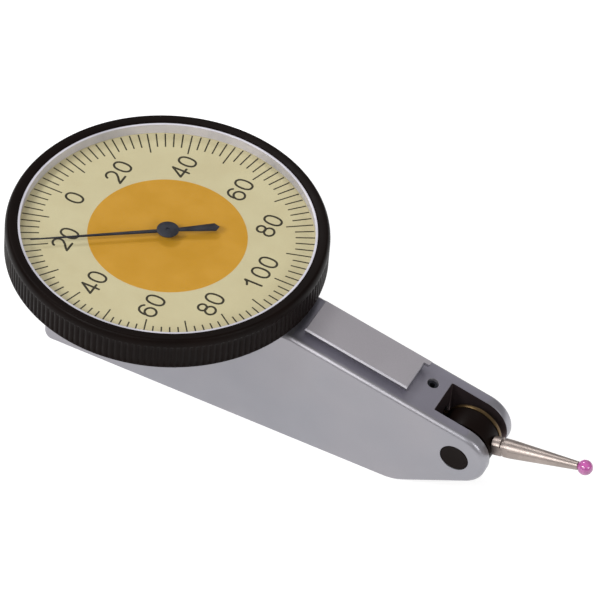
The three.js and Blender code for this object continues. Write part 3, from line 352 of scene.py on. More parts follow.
class StageSettings(bpy.types.PropertyGroup):
    """Camera and floor"""
    aim_x: length("Aim X", 0.015424, "Where the camera looks, along the body")
    aim_y: length("Aim Y", 0.007356, "Where the camera looks, across the body")
    aim_z: length("Aim Z", 0.012, "Height that the camera looks at")
    distance: length("Distance", 0.579625, "Distance of the camera from its aim")
    bearing: angle("Bearing", -66.8908, "Direction of the camera round the object")
    elevation: angle("Elevation", 45.1779, "Height of the camera above the floor, as an angle")
    roll: angle("Roll", 5.0913, "Tilt of the camera about its own axis")
    lens: amount("Lens", 276.75, "Focal length in millimetres on a 36 mm sensor")
    floor_size: length("Floor size", 6.0, "Width of the floor")
    floor_glow: share("Floor glow", 0.78, "Share of the floor's white that needs no light")


# Meshes

TO_X = Matrix.Rotation(math.pi / 2, 4, "Y")
TO_Y = Matrix.Rotation(-math.pi / 2, 4, "X")


def outline_round(points, radius, steps=ROUND_STEPS):
    """A closed outline with its corners rounded, apart from those on the axis"""
    result = []
    total = len(points)
    for index, point in enumerate(points):
        here = Vector(point)
        back = Vector(points[index - 1]) - here
        ahead = Vector(points[(index + 1) % total]) - here
        reach = min(radius, back.length * CORNER_SHARE, ahead.length * CORNER_SHARE)
        straight = back.length and ahead.length and back.angle(ahead) > STRAIGHT_ANGLE
        if here.x < AXIS_TOLERANCE or reach < AXIS_TOLERANCE or straight:
            result.append(here)
            continue
        start = here + back.normalized() * reach
        end = here + ahead.normalized() * reach
        for step in range(steps + 1):
            t = step / steps
            result.append(start * (1 - t) ** 2 + here * (2 * t * (1 - t)) + end * t ** 2)
    return result


def arc(x, z, radius, start, end, steps):
    """Points on an arc, its ends included"""
    turns = [start + (end - start) * step / steps for step in range(steps + 1)]
    return [(x + radius * math.cos(turn), z + radius * math.sin(turn)) for turn in turns]


def box_outline(half, low, high):
    """Profile of a turned solid from a radius and two heights"""
    return [(0, low), (half, low), (half, high), (0, high)]


def tube_outline(bore, radius, low, high):
    return [(bore, low), (radius, low), (radius, high), (bore, high)]


def finished(shape, name):
    """A smooth-shaded mesh with sharp corners, from a bmesh that is freed"""
    bmesh.ops.remove_doubles(shape, verts=shape.verts, dist=AXIS_TOLERANCE)
    bmesh.ops.recalc_face_normals(shape, faces=shape.faces)
    for face in shape.faces:
        face.smooth = True
    mesh = bpy.data.meshes.new(name)
    shape.to_mesh(mesh)
    shape.free()
    mesh.set_sharp_from_angle(angle=SHARP_ANGLE)
    return mesh


def turned(profile, steps=MEDIUM_STEPS, radius_at=None):
    """A bmesh turned about Z from a closed profile of (radius, height) points"""
    shape = bmesh.new()
    rings = []
    for radius, height in profile:
        if radius < AXIS_TOLERANCE:
            rings.append([shape.verts.new((0, 0, height))])
            continue
        ring = []
        for step in range(steps):
            turn = math.tau * step / steps
            reach = radius_at(radius, height, turn) if radius_at else radius
            ring.append(shape.verts.new((reach * math.cos(turn), reach * math.sin(turn), height)))
        rings.append(ring)
    for first, second in zip(rings, rings[1:] + rings[:1]):
        if len(first) == 1 and len(second) == 1:
            continue
        for step in range(steps):
            after = (step + 1) % steps
            corners = [first[step % len(first)], first[after % len(first)],
                       second[after % len(second)], second[step % len(second)]]
            shape.faces.new(list(dict.fromkeys(corners)))
    return shape


def rod(radius, low, high, steps=SMALL_STEPS):
    """A cylinder on Z, between two heights"""
    return turned(box_outline(radius, low, high), steps)


def bridge(shape, rings):
    """Faces between closed rings of as many points, each ring and the next"""
    for first, second in zip(rings, rings[1:]):
        for index in range(len(first)):
            after = (index + 1) % len(first)
            shape.faces.new([first[index], first[after], second[after], second[index]])


def gather(whole, shape, place):
    """Adds a shape to another at a place; the shape itself stays"""
    mesh = bpy.data.meshes.new("part")
    shape.to_mesh(mesh)
    mesh.transform(place)
    whole.from_mesh(mesh)
    bpy.data.meshes.remove(mesh)


def across(shape, x=0.0, z=0.0):
    """Turns a shape's axis from Z to Y and moves it to a place in the XZ plane"""
    shape.transform(Matrix.Translation((x, 0, z)) @ TO_Y)
    return shape


def slab(outline, low, high):
    """An outline of (x, z) points, thick from one y to another"""
    shape = bmesh.new()
    near = [shape.verts.new((x, low, z)) for x, z in outline]
    face = shape.faces.new(near)
    grown = bmesh.ops.extrude_face_region(shape, geom=[face])
    far = [item for item in grown["geom"] if isinstance(item, bmesh.types.BMVert)]
    bmesh.ops.translate(shape, verts=far, vec=(0, high - low, 0))
    bmesh.ops.recalc_face_normals(shape, faces=shape.faces)
    return shape


def prism(outline, low, high):
    """An outline of (x, y) points, thick from one z to another"""
    shape = slab(outline, -high, -low)
    shape.transform(TO_Y)
    return shape


def block(low, high):
    """A box between two corners"""
    outline = [(low[0], low[2]), (high[0], low[2]), (high[0], high[2]), (low[0], high[2])]
    return slab(outline, low[1], high[1])


def soften(shape, width, chosen, segments=2, profile=0.5):
    """Bevels the edges that the test picks out"""
    edges = [edge for edge in shape.edges if chosen(edge)]
    bmesh.ops.bevel(shape, geom=edges, offset=width, offset_type="OFFSET", segments=segments,
                    profile=profile, affect="EDGES", clamp_overlap=True)
    return shape


def is_corner(edge):
    return len(edge.link_faces) == 2 and edge.calc_face_angle(0.0) > CORNER_ANGLE


def loose(shape, name):
    """An object for a boolean, from a bmesh"""
    item = bpy.data.objects.new(name, finished(shape, name))
    bpy.context.scene.collection.objects.link(item)
    return item


def combined(shape, *steps):
    """A bmesh after booleans: each step is an operation and the bmesh that it uses"""
    target = loose(shape, "work")
    tools = []
    for number, (operation, tool_shape) in enumerate(steps):
        tool = loose(tool_shape, f"tool_{number}")
        modifier = target.modifiers.new(f"step_{number}", "BOOLEAN")
        modifier.operation = operation
        modifier.solver = "EXACT"
        modifier.object = tool
        tools.append(tool)
    mesh = bpy.data.meshes.new_from_object(target.evaluated_get(bpy.context.evaluated_depsgraph_get()))
    if not mesh.polygons:
        raise RuntimeError("a boolean left nothing of a piece")
    result = bmesh.new()
    result.from_mesh(mesh)
    for item in [target, *tools]:
        data = item.data
        bpy.data.objects.remove(item)
        bpy.data.meshes.remove(data)
    bpy.data.meshes.remove(mesh)
    bmesh.ops.remove_doubles(result, verts=result.verts, dist=AXIS_TOLERANCE)
    return result


def cut(shape, *tools):
    return combined(shape, *[("DIFFERENCE", tool) for tool in tools])


def join(shape, *others):
    return combined(shape, *[("UNION", other) for other in others])


def add_piece(name, shape, finish, body, *nodes):
    """Puts a piece in the scene, in its finish and on the body that it moves with"""
    mesh = finished(shape, name)
    mesh.materials.append(material_named(finish))
    piece = bpy.data.objects.new(name, mesh)
    bpy.context.scene.collection.objects.link(piece)
    shading = piece.modifiers.new("even_shading", "WEIGHTED_NORMAL")
    shading.keep_sharp = True
    shading.weight = 100
    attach(piece, body)
    if nodes:
        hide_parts(*nodes)
    return piece


# Materials

# What most of a noise lies between
NOISE_LOW, NOISE_HIGH = 0.3, 0.7

# The crystal's reflection straight ahead and at the edge of sight, and how late it grows
SHINE_AHEAD, SHINE_GRAZING, SHINE_GROWTH = 0.005, 0.45, 4.0


def linear(value):
    """A colour as it is seen, turned into the light that it stands for"""
    return tuple(c / 12.92 if c <= 0.04045 else ((c + 0.055) / 1.055) ** 2.4 for c in value) + (1.0,)


def shade(tone, factor):
    return [min(1.0, c * factor) for c in tone]


class NodeTree:
    """The nodes of a material or a world, with short ways to add them"""

    def __init__(self, owner):
        owner.use_nodes = True
        self.tree = owner.node_tree
        self.nodes = self.tree.nodes

    def feed(self, target, source):
        """A value for a socket, or a link from another one"""
        if isinstance(source, bpy.types.NodeSocket):
            self.tree.links.new(source, target)
        else:
            target.default_value = source

    def node(self, kind, inputs=None, **settings):
        made = self.nodes.new(kind)
        for key, value in settings.items():
            setattr(made, key, value)
        for socket, source in (inputs or {}).items():
            self.feed(made.inputs[socket], source)
        return made

    def math(self, operation, first, second):
        return self.node("ShaderNodeMath", {0: first, 1: second}, operation=operation).outputs["Value"]

    def spread(self, source, low=0.0, high=1.0, start=0.0, end=1.0):
        """A value brought from one range to another"""
        ranged = self.node("ShaderNodeMapRange", {"Value": source, "From Min": low, "From Max": high,
                                                  "To Min": start, "To Max": end})
        return ranged.outputs["Result"]

    def place(self):
        return self.node("ShaderNodeTexCoord").outputs["Object"]


class Surface(NodeTree):
    """A material with a Principled shader and what feeds it"""

    def __init__(self, name, **sockets):
        self.material = bpy.data.materials.new(name)
        super().__init__(self.material)
        self.shader = self.nodes["Principled BSDF"]
        for socket, value in sockets.items():
            self.shader.inputs[socket.replace("_", " ")].default_value = value
        self.relief = None

    def noise(self, scale, detail=3.0, roughness=0.55, stretch=None):
        place = self.place()
        if stretch:
            place = self.node("ShaderNodeMapping", {"Vector": place, "Scale": stretch}).outputs["Vector"]
        values = {"Vector": place, "Scale": scale, "Detail": detail, "Roughness": roughness}
        return self.node("ShaderNodeTexNoise", values).outputs["Fac"]

    def colour(self, tone, *layers):
        """A tone, and over it others: each comes in where a noise goes from one level to another"""
        mixed = linear(tone)
        for source, levels, other in layers:
            mix = self.node("ShaderNodeMix", data_type="RGBA", blend_type="MIX")
            self.feed(mix.inputs["Factor"], self.spread(source, *levels))
            self.feed(mix.inputs[6], mixed)
            self.feed(mix.inputs[7], linear(other))
            mixed = mix.outputs[2]
        self.feed(self.shader.inputs["Base Color"], mixed)

    def rough(self, source, least, most):
        self.feed(self.shader.inputs["Roughness"], self.spread(source, NOISE_LOW, NOISE_HIGH, least, most))

    def bump(self, height, distance, strength):
        values = {"Height": height, "Distance": distance, "Strength": strength}
        if self.relief:
            values["Normal"] = self.relief
        self.relief = self.node("ShaderNodeBump", values).outputs["Normal"]
        self.feed(self.shader.inputs["Normal"], self.relief)


def satin_steel(name, tone, cool, roughness):
    """Fine matt chrome, a little cooler in places"""
    look = Surface(name, Metallic=0.8, Anisotropic=0.15)
    grain = look.noise(9000.0, detail=2.0)
    clouds = look.noise(70.0, detail=2.0)
    look.colour(tone, (clouds, (0.35, 0.65), cool), (grain, (0.45, 0.75), shade(tone, 0.965)))
    look.rough(look.noise(260.0), roughness - 0.03, roughness + 0.06)
    look.bump(grain, distance=0.000004, strength=0.35)
    look.bump(look.noise(900.0, detail=4.0), distance=0.000006, strength=0.12)
    return look.material


def polished_steel(name, tone, roughness, stretch):
    """Turned steel: its fine rings come from stretched noise"""
    look = Surface(name, Metallic=1.0)
    rings = look.noise(1.0, detail=2.0, stretch=stretch)
    look.colour(tone, (look.noise(500.0), (0.35, 0.75), shade(tone, 0.86)))
    look.rough(rings, roughness - 0.04, roughness + 0.06)
    look.bump(rings, distance=0.000004, strength=0.08)
    return look.material


def black_metal(name, tone, worn):
    """Black finish over steel, brown where it is thin"""
    look = Surface(name, Specular_IOR_Level=0.06)
    wear = look.noise(700.0, detail=5.0, roughness=0.7)
    broad = look.noise(120.0, detail=2.0)
    look.colour(tone, (broad, (0.4, 0.7), shade(tone, 0.8)), (wear, (0.62, 0.85, 0.0, 0.6), worn))
    look.rough(wear, 0.36, 0.46)
    look.bump(look.noise(5000.0), distance=0.000006, strength=0.3)
    return look.material


def blued_steel(name, tone):
    look = Surface(name, Metallic=0.75)
    cloud = look.noise(600.0)
    look.colour(tone, (cloud, (0.4, 0.75), shade(tone, 1.35)))
    look.rough(cloud, 0.34, 0.46)
    look.bump(look.noise(6000.0), distance=0.000003, strength=0.3)
    return look.material


def bright_metal(name, tone, dull):
    """Matt silver ring: dull patches and fine lines up and down"""
    look = Surface(name, Metallic=0.25)
    fine = look.noise(1.0, detail=2.0, stretch=(5200.0, 5200.0, 500.0))
    look.colour(tone, (look.noise(140.0), (0.38, 0.66), dull))
    look.rough(fine, 0.38, 0.52)
    look.bump(fine, distance=0.000006, strength=0.4)
    return look.material


def printed(name, tone, second, roughness):
    """Enamel or ink with a slight unevenness"""
    look = Surface(name, Specular_IOR_Level=0.3)
    cloud = look.noise(260.0)
    speck = look.noise(4200.0, detail=2.0)
    look.colour(tone, (cloud, (0.35, 0.68), second), (speck, (0.62, 0.82, 0.0, 0.5), shade(second, 0.95)))
    look.rough(cloud, roughness - 0.05, roughness + 0.05)
    look.bump(speck, distance=0.000005, strength=0.15)
    return look.material


def brass(name, tone, dark):
    look = Surface(name, Metallic=1.0)
    tarnish = look.noise(420.0, detail=5.0, roughness=0.65)
    grain = look.noise(1.0, detail=2.0, stretch=(400.0, 4000.0, 4000.0))
    look.colour(tone, (tarnish, (0.42, 0.75), dark))
    look.rough(grain, 0.3, 0.44)
    look.bump(grain, distance=0.000004, strength=0.3)
    return look.material


def ruby(name, tone):
    """Synthetic ruby, cloudy inside"""
    look = Surface(name, Roughness=0.06, IOR=1.76, Coat_Weight=0.4, Coat_Roughness=0.03,
                   Subsurface_Weight=0.35, Subsurface_Radius=(0.0009, 0.0004, 0.0007))
    cloud = look.noise(900.0)
    look.colour(tone, (cloud, (0.35, 0.7), shade(tone, 0.82)))
    look.rough(cloud, 0.06, 0.12)
    return look.material


def clear_crystal(name):
    """Clear plate: seen through, with a faint reflection that grows towards the edge of sight"""
    material = bpy.data.materials.new(name)
    look = NodeTree(material)
    look.nodes.remove(look.nodes["Principled BSDF"])
    smear = look.node("ShaderNodeTexNoise", {"Vector": look.place(), "Scale": 160.0}).outputs["Fac"]
    shine = look.node("ShaderNodeBsdfGlossy", {"Roughness": look.spread(smear, start=0.02, end=0.07)})
    sight = look.node("ShaderNodeLayerWeight", {"Blend": 0.5}).outputs["Facing"]
    grazing = look.math("POWER", sight, SHINE_GROWTH)
    mix = look.node("ShaderNodeMixShader", {
        "Fac": look.spread(grazing, start=SHINE_AHEAD, end=SHINE_GRAZING),
        1: look.node("ShaderNodeBsdfTransparent").outputs["BSDF"],
        2: shine.outputs["BSDF"],
    })
    look.feed(look.nodes["Material Output"].inputs["Surface"], mix.outputs["Shader"])
    return material


def material_named(name):
    """The material of that name, made when it is first asked for"""
    known = bpy.data.materials.get(name)
    if known and known.get("indicator"):
        return known
    looks = bpy.context.scene.indicator_finishes
    satin = looks.satin_roughness
    makers = {
        "satin_steel": (satin_steel, looks.satin, looks.satin_cool, satin),
        # Lighter and darker copies of the satin steel: painted light on the rail's top, painted shade on the
        # shoulder and in the slot
        "ground_steel": (satin_steel, looks.ground, looks.ground, satin),
        "milled_steel": (satin_steel, looks.milled, looks.milled, satin),
        "slot_steel": (satin_steel, looks.slot, looks.slot, satin),
        "screw_steel": (polished_steel, looks.screw, 0.3, (2600.0, 2600.0, 2600.0)),
        "stylus_steel": (polished_steel, looks.stylus, 0.42, (9000.0, 300.0, 300.0)),
        "spring_steel": (polished_steel, looks.spring, 0.3, (3000.0, 3000.0, 3000.0)),
        "blued_steel": (blued_steel, looks.blued),
        "black_metal": (black_metal, looks.black, looks.black_worn),
        "bright_metal": (bright_metal, looks.bright, looks.bright_dull),
        "dial_enamel": (printed, looks.dial, looks.dial_aged, 0.55),
        "dial_orange": (printed, looks.disc, looks.disc_deep, 0.55),
        "dial_ink": (printed, looks.ink, shade(looks.ink, 0.9), 0.5),
        "crystal": (clear_crystal,),
        "brass": (brass, looks.brass, looks.brass_dark),
        "ruby": (ruby, looks.ruby),
        "jewel": (ruby, looks.ruby_deep),
    }
    maker, *values = makers[name]
    made = maker(name, *values)
    made.name = name
    made["indicator"] = True
    return made


# Body

def shoulder_angle():
    """Slope of the shoulder, which runs from the platform's end and touches the nose"""
    reach = Vector((PIVOT.x - PLATFORM_FRONT, PIVOT.z - PLATFORM))
    return math.atan2(reach.y, reach.x) + math.asin(NOSE_RADIUS / reach.length)


def body_outline(sizes):
    """The body seen from the side, as (x, z) points"""
    quarter = math.pi / 2
    rear = BODY_LOW.x
    chin = sizes.chin_angle
    chin_forward = PIVOT.x + NOSE_RADIUS * math.sin(chin)
    chin_height = PIVOT.z - NOSE_RADIUS * math.cos(chin)
    heel_forward = chin_forward - chin_height / math.tan(chin) - HEEL_RADIUS * math.tan(chin / 2)
    return [
        *arc(rear + REAR_CORNER, REAR_CORNER, REAR_CORNER, 2 * quarter, 3 * quarter, steps=8),
        *arc(heel_forward, HEEL_RADIUS, HEEL_RADIUS, -quarter, chin - quarter, steps=10),
        *arc(PIVOT.x, PIVOT.z, NOSE_RADIUS, chin - quarter, shoulder_angle() + quarter, steps=44),
        (PLATFORM_FRONT, PLATFORM),
        *arc(rear + TOP_CORNER, PLATFORM - TOP_CORNER, TOP_CORNER, quarter, 2 * quarter, steps=6),
    ]


def shoulder_frame(along=0.0, side=0.0):
    """Placing of a piece on the shoulder: X down the slope, Z out of it"""
    slope = shoulder_angle()
    run = Vector((math.cos(slope), 0, math.sin(slope)))
    up = Vector((-run.z, 0, run.x))
    place = Vector((PLATFORM_FRONT, side, PLATFORM)) + run * along
    frame_matrix = Matrix((run, (0, 1, 0), up)).transposed().to_4x4()
    return Matrix.Translation(place) @ frame_matrix


def lock_hole_along():
    return (shoulder_frame().inverted() @ LOCK_PLACE).x


def rail_bar(sizes, section, start, end, round_width=0.0):
    """A bar down the shoulder with broken end edges and, where asked, rounded front corners"""
    shape = prism(section, start, end)
    shape.transform(Matrix(((0, 0, 1, 0), (1, 0, 0, 0), (0, 1, 0, 0), (0, 0, 0, 1))))

    def front_corner(edge):
        first, second = (vertex.co for vertex in edge.verts)
        steep = abs(first.z - second.z) > max(abs(first.x - second.x), RAIL_CHAMFER + FACE_TOLERANCE)
        return min(first.x, second.x) > end - AXIS_TOLERANCE and steep

    def end_edge(edge):
        first, second = (vertex.co for vertex in edge.verts)
        level = min(first.z, second.z) > sizes.rail_height - AXIS_TOLERANCE
        return level and abs(first.y - second.y) > abs(first.x - second.x)
    if round_width:
        soften(shape, round_width, front_corner, segments=3)
    soften(shape, RAIL_EDGE, end_edge, segments=1)
    shape.transform(shoulder_frame())
    return shape


def rail(sizes):
    """Dovetail rail, whose far edge runs on past its front end in a short thin ear"""
    top = sizes.rail_width / 2
    high = sizes.rail_height
    neck = top - high / math.tan(sizes.rail_angle)
    inner = top - sizes.ear_width
    end = lock_hole_along() - sizes.rail_end_gap
    edge = [(top - RAIL_CHAMFER, high), (top, high - RAIL_CHAMFER)]
    mirrored = [(-y, z) for y, z in reversed(edge)]
    section = [(-neck, -SEAT_GAP), (-neck, 0), *mirrored, *edge, (neck, 0), (neck, -SEAT_GAP)]
    low = high - EAR_THICKNESS
    undercut = EAR_THICKNESS / math.tan(sizes.rail_angle)
    ear = [(inner, low), (inner, high), *edge, (top - undercut, low)]
    return (rail_bar(sizes, section, sizes.rail_start, end),
            rail_bar(sizes, ear, end - sizes.ear_width, end + sizes.ear_length, EAR_ROUND))


def bores(nodes, *cylinders, steps=CUTTER_STEPS):
    """Upright holes where screws stand: each cylinder has a screw's radius, a low end and a high end"""
    holes = []
    for node in nodes:
        for radius, low, high in cylinders:
            shape = rod(radius + SEAT_GAP, low, high, steps)
            shape.transform(Matrix.Translation((middle(node).x, 0, 0)))
            holes.append(shape)
    return holes


def hollow():
    """The room for the movement, open below, and the lever's passage"""
    side = HALF_WIDTH - HOLLOW_WALL
    rear = COVER_LOW.x - LOOSE_GAP + COVER_LEDGE
    front = SLOT_REAR - SOLID_NOSE
    step = SECTOR_FORWARD + HOLLOW_STEP
    ceiling = PLATFORM - CEILING_THICKNESS
    shoulder = PLATFORM + (front - PLATFORM_FRONT) * math.tan(shoulder_angle())
    low_ceiling = shoulder - SHOULDER_THICKNESS
    cover_seat = COVER_HIGH.z + SEAT_GAP
    lever_middle = LEVER_LOW.y + LEVER_SHEET / 2
    wide = TUNNEL_WIDTH / 2
    high = TUNNEL_HEIGHT / 2
    return [
        block((rear, -side, -OVERRUN), (step, side, ceiling)),
        block((step - OVERRUN, -side, -OVERRUN), (front, side, low_ceiling)),
        block((rear - COVER_LEDGE, -side, -OVERRUN), (front + COVER_LEDGE, side, cover_seat)),
        block((front - OVERRUN, lever_middle - wide, PIVOT.z - high),
              (SLOT_REAR + OVERRUN, lever_middle + wide, PIVOT.z + high)),
    ]


def clevis_slot():
    """The slot that the drum turns in, its inner corners rounded"""
    shape = block((SLOT_REAR, -HALF_SLOT, -OVERRUN), (BODY_HIGH.x + OVERRUN, HALF_SLOT, PLATFORM))

    def inner_corner(edge):
        first, second = (vertex.co for vertex in edge.verts)
        upright = max(abs(first.x - second.x), abs(first.y - second.y)) < AXIS_TOLERANCE
        return upright and first.x < SLOT_REAR + AXIS_TOLERANCE
    return soften(shape, SLOT_RADIUS, inner_corner, segments=4)


def body_shell(sizes):
    """The body's outer form with its long edges rounded"""
    shell = slab(body_outline(sizes), -HALF_WIDTH, HALF_WIDTH)

    def rim(edge):
        return abs(edge.verts[0].co.y - edge.verts[1].co.y) < AXIS_TOLERANCE
    return soften(shell, sizes.edge_round, rim, segments=5, profile=EDGE_FORM)


def body_block(sizes, screws):
    """The body with its rail, slot, hollow and holes, and the slot's and the holes' edges broken"""
    along = lock_hole_along()
    lock = LOCK_RADIUS + SEAT_GAP
    lock_hole = rod(lock, -LOCK_DEPTH, OVERRUN, CUTTER_STEPS)
    lock_hole.transform(shoulder_frame(along, LOCK_PLACE.y))
    side = HALF_WIDTH + OVERRUN
    plug_hole = across(rod(PLUG_RADIUS + SEAT_GAP, -side, side, CUTTER_STEPS), PIVOT.x, PIVOT.z)
    shape = cut(join(body_shell(sizes), *rail(sizes)), clevis_slot(), plug_hole, lock_hole)
    slope_frame = shoulder_frame().inverted()
    corner = SLOT_REAR + SLOT_RADIUS

    def fresh_edge(edge):
        if not is_corner(edge):
            return False
        points = [vertex.co for vertex in edge.verts]
        centre = (points[0] + points[1]) / 2
        sloped = slope_frame @ centre
        from_pivot = math.hypot(centre.x - PIVOT.x, centre.z - PIVOT.z)
        on_slot = all(abs(abs(p.y) - HALF_SLOT) < FACE_TOLERANCE and p.x > corner for p in points)
        on_rear = all(SLOT_REAR - FACE_TOLERANCE < p.x < corner + FACE_TOLERANCE
                      and abs(p.y) < HALF_SLOT + FACE_TOLERANCE for p in points)
        on_plug = abs(from_pivot - PLUG_RADIUS) < LOOSE_GAP and abs(centre.y) > HALF_WIDTH - LOOSE_GAP
        on_lock = abs(sloped.z) < LOOSE_GAP and abs(sloped.x - along) < lock + LOOSE_GAP
        return on_slot or on_rear or on_plug or on_lock
    soften(shape, CUT_CHAMFER, fresh_edge, segments=2)
    ceiling = PLATFORM - CEILING_THICKNESS - OVERRUN
    above = PLATFORM + OVERRUN
    sink = PLATFORM - screws.head_height - SEAT_GAP
    cover_hole = (screws.small_radius, COVER_HIGH.z - OVERRUN, COVER_SCREW_HIGH.z + SEAT_GAP)
    holes = [
        rod(SPINDLE_HOLE, ceiling, above, CUTTER_STEPS),
        *bores(HEAD_SCREWS, (screws.radius, ceiling, above)),
        *bores(MOVEMENT_SCREWS, (screws.radius, ceiling, PLATFORM), (screws.head_radius, sink, above)),
        *bores(COVER_SCREWS, cover_hole),
    ]
    return cut(shape, *hollow(), *holes)


# Screws

def slotted_screw(radius, reach, head_radius, head_height, screws):
    """A slotted screw that stands head up, the head's underside at z = 0"""
    profile = [(0, -reach), (radius, -reach), (radius, 0), (head_radius, 0), (head_radius, head_height),
               (0, head_height)]
    shape = turned(outline_round(profile, screws.edge), SMALL_STEPS)
    wide = head_radius + OVERRUN
    half = screws.slot_width / 2
    floor = head_height - screws.slot_depth
    return cut(shape, block((-wide, -half, floor), (wide, half, head_height + OVERRUN)))


# Strokes of the digits, in shares of a digit's height, from its middle and its foot

# Degrees from one point of an oval to the next, and its least number of steps
OVAL_STEP = 9
OVAL_LEAST = 6


def oval(x, y, across_share, up_share, start=0.0, end=360.0, power=2.0):
    """Points round an oval; a higher power squares it"""
    points = []
    steps = max(OVAL_LEAST, int(abs(end - start) / OVAL_STEP))
    for step in range(steps + 1):
        turn = math.radians(start + (end - start) * step / steps)
        c, s = math.cos(turn), math.sin(turn)
        points.append((x + across_share * math.copysign(abs(c) ** (2 / power), c),
                       y + up_share * math.copysign(abs(s) ** (2 / power), s)))
    return points


def digit_strokes(digit, half):
    """Strokes of a digit of height 1, half as wide as given on each side"""
    if digit == "0":
        return [oval(0, 0.5, half, 0.5, power=2.3)]
    if digit == "1":
        return [[(0.03, 0), (0.03, 1.0)], [(0.03, 0.99), (-0.08, 0.83), (-0.27, 0.74)]]
    if digit == "2":
        top = oval(-0.01, 0.69, half * 0.97, 0.31, 158, -38)
        foot = [(-half, 0), (half * 0.98, 0)]
        return [[*top, (half * 0.25, 0.33), (-half * 0.55, 0.14), (-half, 0.0)], foot]
    if digit == "4":
        stem = half * 0.45
        left = (-half * 1.12, 0.265)
        return [[(stem, 0), (stem, 1)], [(stem, 1), left], [left, (half * 1.15, 0.265)]]
    if digit == "6":
        curl = oval(half * 0.12, 0.55, half * 1.12, 0.45, 42, 188, power=2.1)
        return [curl, oval(0, 0.32, half, 0.32)]
    if digit == "8":
        return [oval(0, 0.765, half * 0.8, 0.235), oval(0, 0.28, half, 0.28)]
    raise ValueError(f"no strokes for {digit}")


def stroke_outline(points, width):
    """Outline of a stroke with round ends"""
    half = width / 2
    left, right = [], []
    for index, point in enumerate(points):
        ahead = points[min(index + 1, len(points) - 1)]
        back = points[max(index - 1, 0)]
        run = (ahead - back).normalized()
        side = Vector((-run.y, run.x)) * half
        left.append(point + side)
        right.append(point - side)
    caps = []
    for centre, before in ((points[-1], points[-2]), (points[0], points[1])):
        outward = (centre - before).normalized()
        start = math.atan2(outward.y, outward.x) + math.pi / 2
        turns = [start - math.pi * step / CAP_STEPS for step in range(1, CAP_STEPS)]
        caps.append([centre + Vector((math.cos(turn), math.sin(turn))) * half for turn in turns])
    return left + caps[0] + right[::-1] + caps[1]


def stroke_solid(points, width, low, high):
    """A printed stroke; a closed one becomes a ring"""
    if (points[0] - points[-1]).length > AXIS_TOLERANCE:
        return prism(stroke_outline(points, width), low, high)
    points = points[:-1]
    shape = bmesh.new()
    rings = []
    for side, level in ((0.5, low), (0.5, high), (-0.5, high), (-0.5, low)):
        ring = []
        for index, point in enumerate(points):
            run = (points[(index + 1) % len(points)] - points[index - 1]).normalized()
            place = point + Vector((-run.y, run.x)) * width * side
            ring.append(shape.verts.new((place.x, place.y, level)))
        rings.append(ring)
    bridge(shape, rings + rings[:1])
    bmesh.ops.recalc_face_normals(shape, faces=shape.faces)
    return shape


def digit_mesh(digit, sizes, low, high):
    """A digit as one flat solid, its foot's middle at the origin"""
    half = sizes.digit_width / 2 / sizes.digit_height
    solids = []
    for stroke in digit_strokes(digit, half):
        points = [Vector(point) * sizes.digit_height for point in stroke]
        solids.append(stroke_solid(points, sizes.stroke, low, high))
    return join(solids[0], *solids[1:]) if len(solids) > 1 else solids[0]


# Numbers on one half of the dial: what it says, its turn from the first and how far out it stands
NUMBER_PLACES = (("0", 0.0, 0.01314), ("20", 33.1, 0.01268), ("40", 71.4, 0.01254),
                 ("60", 108.9, 0.01250), ("80", 142.1, 0.01288), ("100", 180.0, 0.01300))


def numbers(sizes, low, high):
    """All numbers of the dial, upright when it is read with the stylus to the reader"""
    digits = {digit: digit_mesh(digit, sizes, low, high) for digit in "012468"}
    whole = bmesh.new()
    for text, degrees, reach in NUMBER_PLACES:
        turn = math.radians(degrees)
        for side in (1,) if degrees in (0.0, 180.0) else (1, -1):
            for index, digit in enumerate(text):
                offset = (index - (len(text) - 1) / 2) * sizes.digit_pitch
                right = side * math.sin(turn) * reach + offset
                up = math.cos(turn) * reach - sizes.digit_height / 2
                gather(whole, digits[digit],
                       Matrix(((0, -1, 0, -up), (1, 0, 0, right), (0, 0, 1, 0), (0, 0, 0, 1))))
    for shape in digits.values():
        shape.free()
    return whole


def division_lines(sizes, low, high):
    """The lines round the dial, every few of them longer"""
    whole = bmesh.new()
    half = sizes.line_width / 2
    outer = sizes.line_outer
    for index in range(sizes.divisions):
        inner = sizes.long_inner if index % sizes.long_every == 0 else sizes.short_inner
        line = prism([(inner, -half), (outer, -half), (outer, half), (inner, half)], low, high)
        gather(whole, line, Matrix.Rotation(math.tau * index / sizes.divisions, 4, "Z"))
        line.free()
    return whole


# Head

def levels(start, end, steps):
    """Even steps from one value to another, the first one left out"""
    return [start + (end - start) * step / steps for step in range(1, steps + 1)]


def spring_groove(side, groove, rising):
    """The groove that the wire spring snaps into, as a profile up or down a side"""
    low, high = SPRING_MIDDLE - HALF_GROOVE, SPRING_MIDDLE + HALF_GROOVE
    points = [(side, low), (groove, low), (groove, high), (side, high)]
    return points if rising else points[::-1]


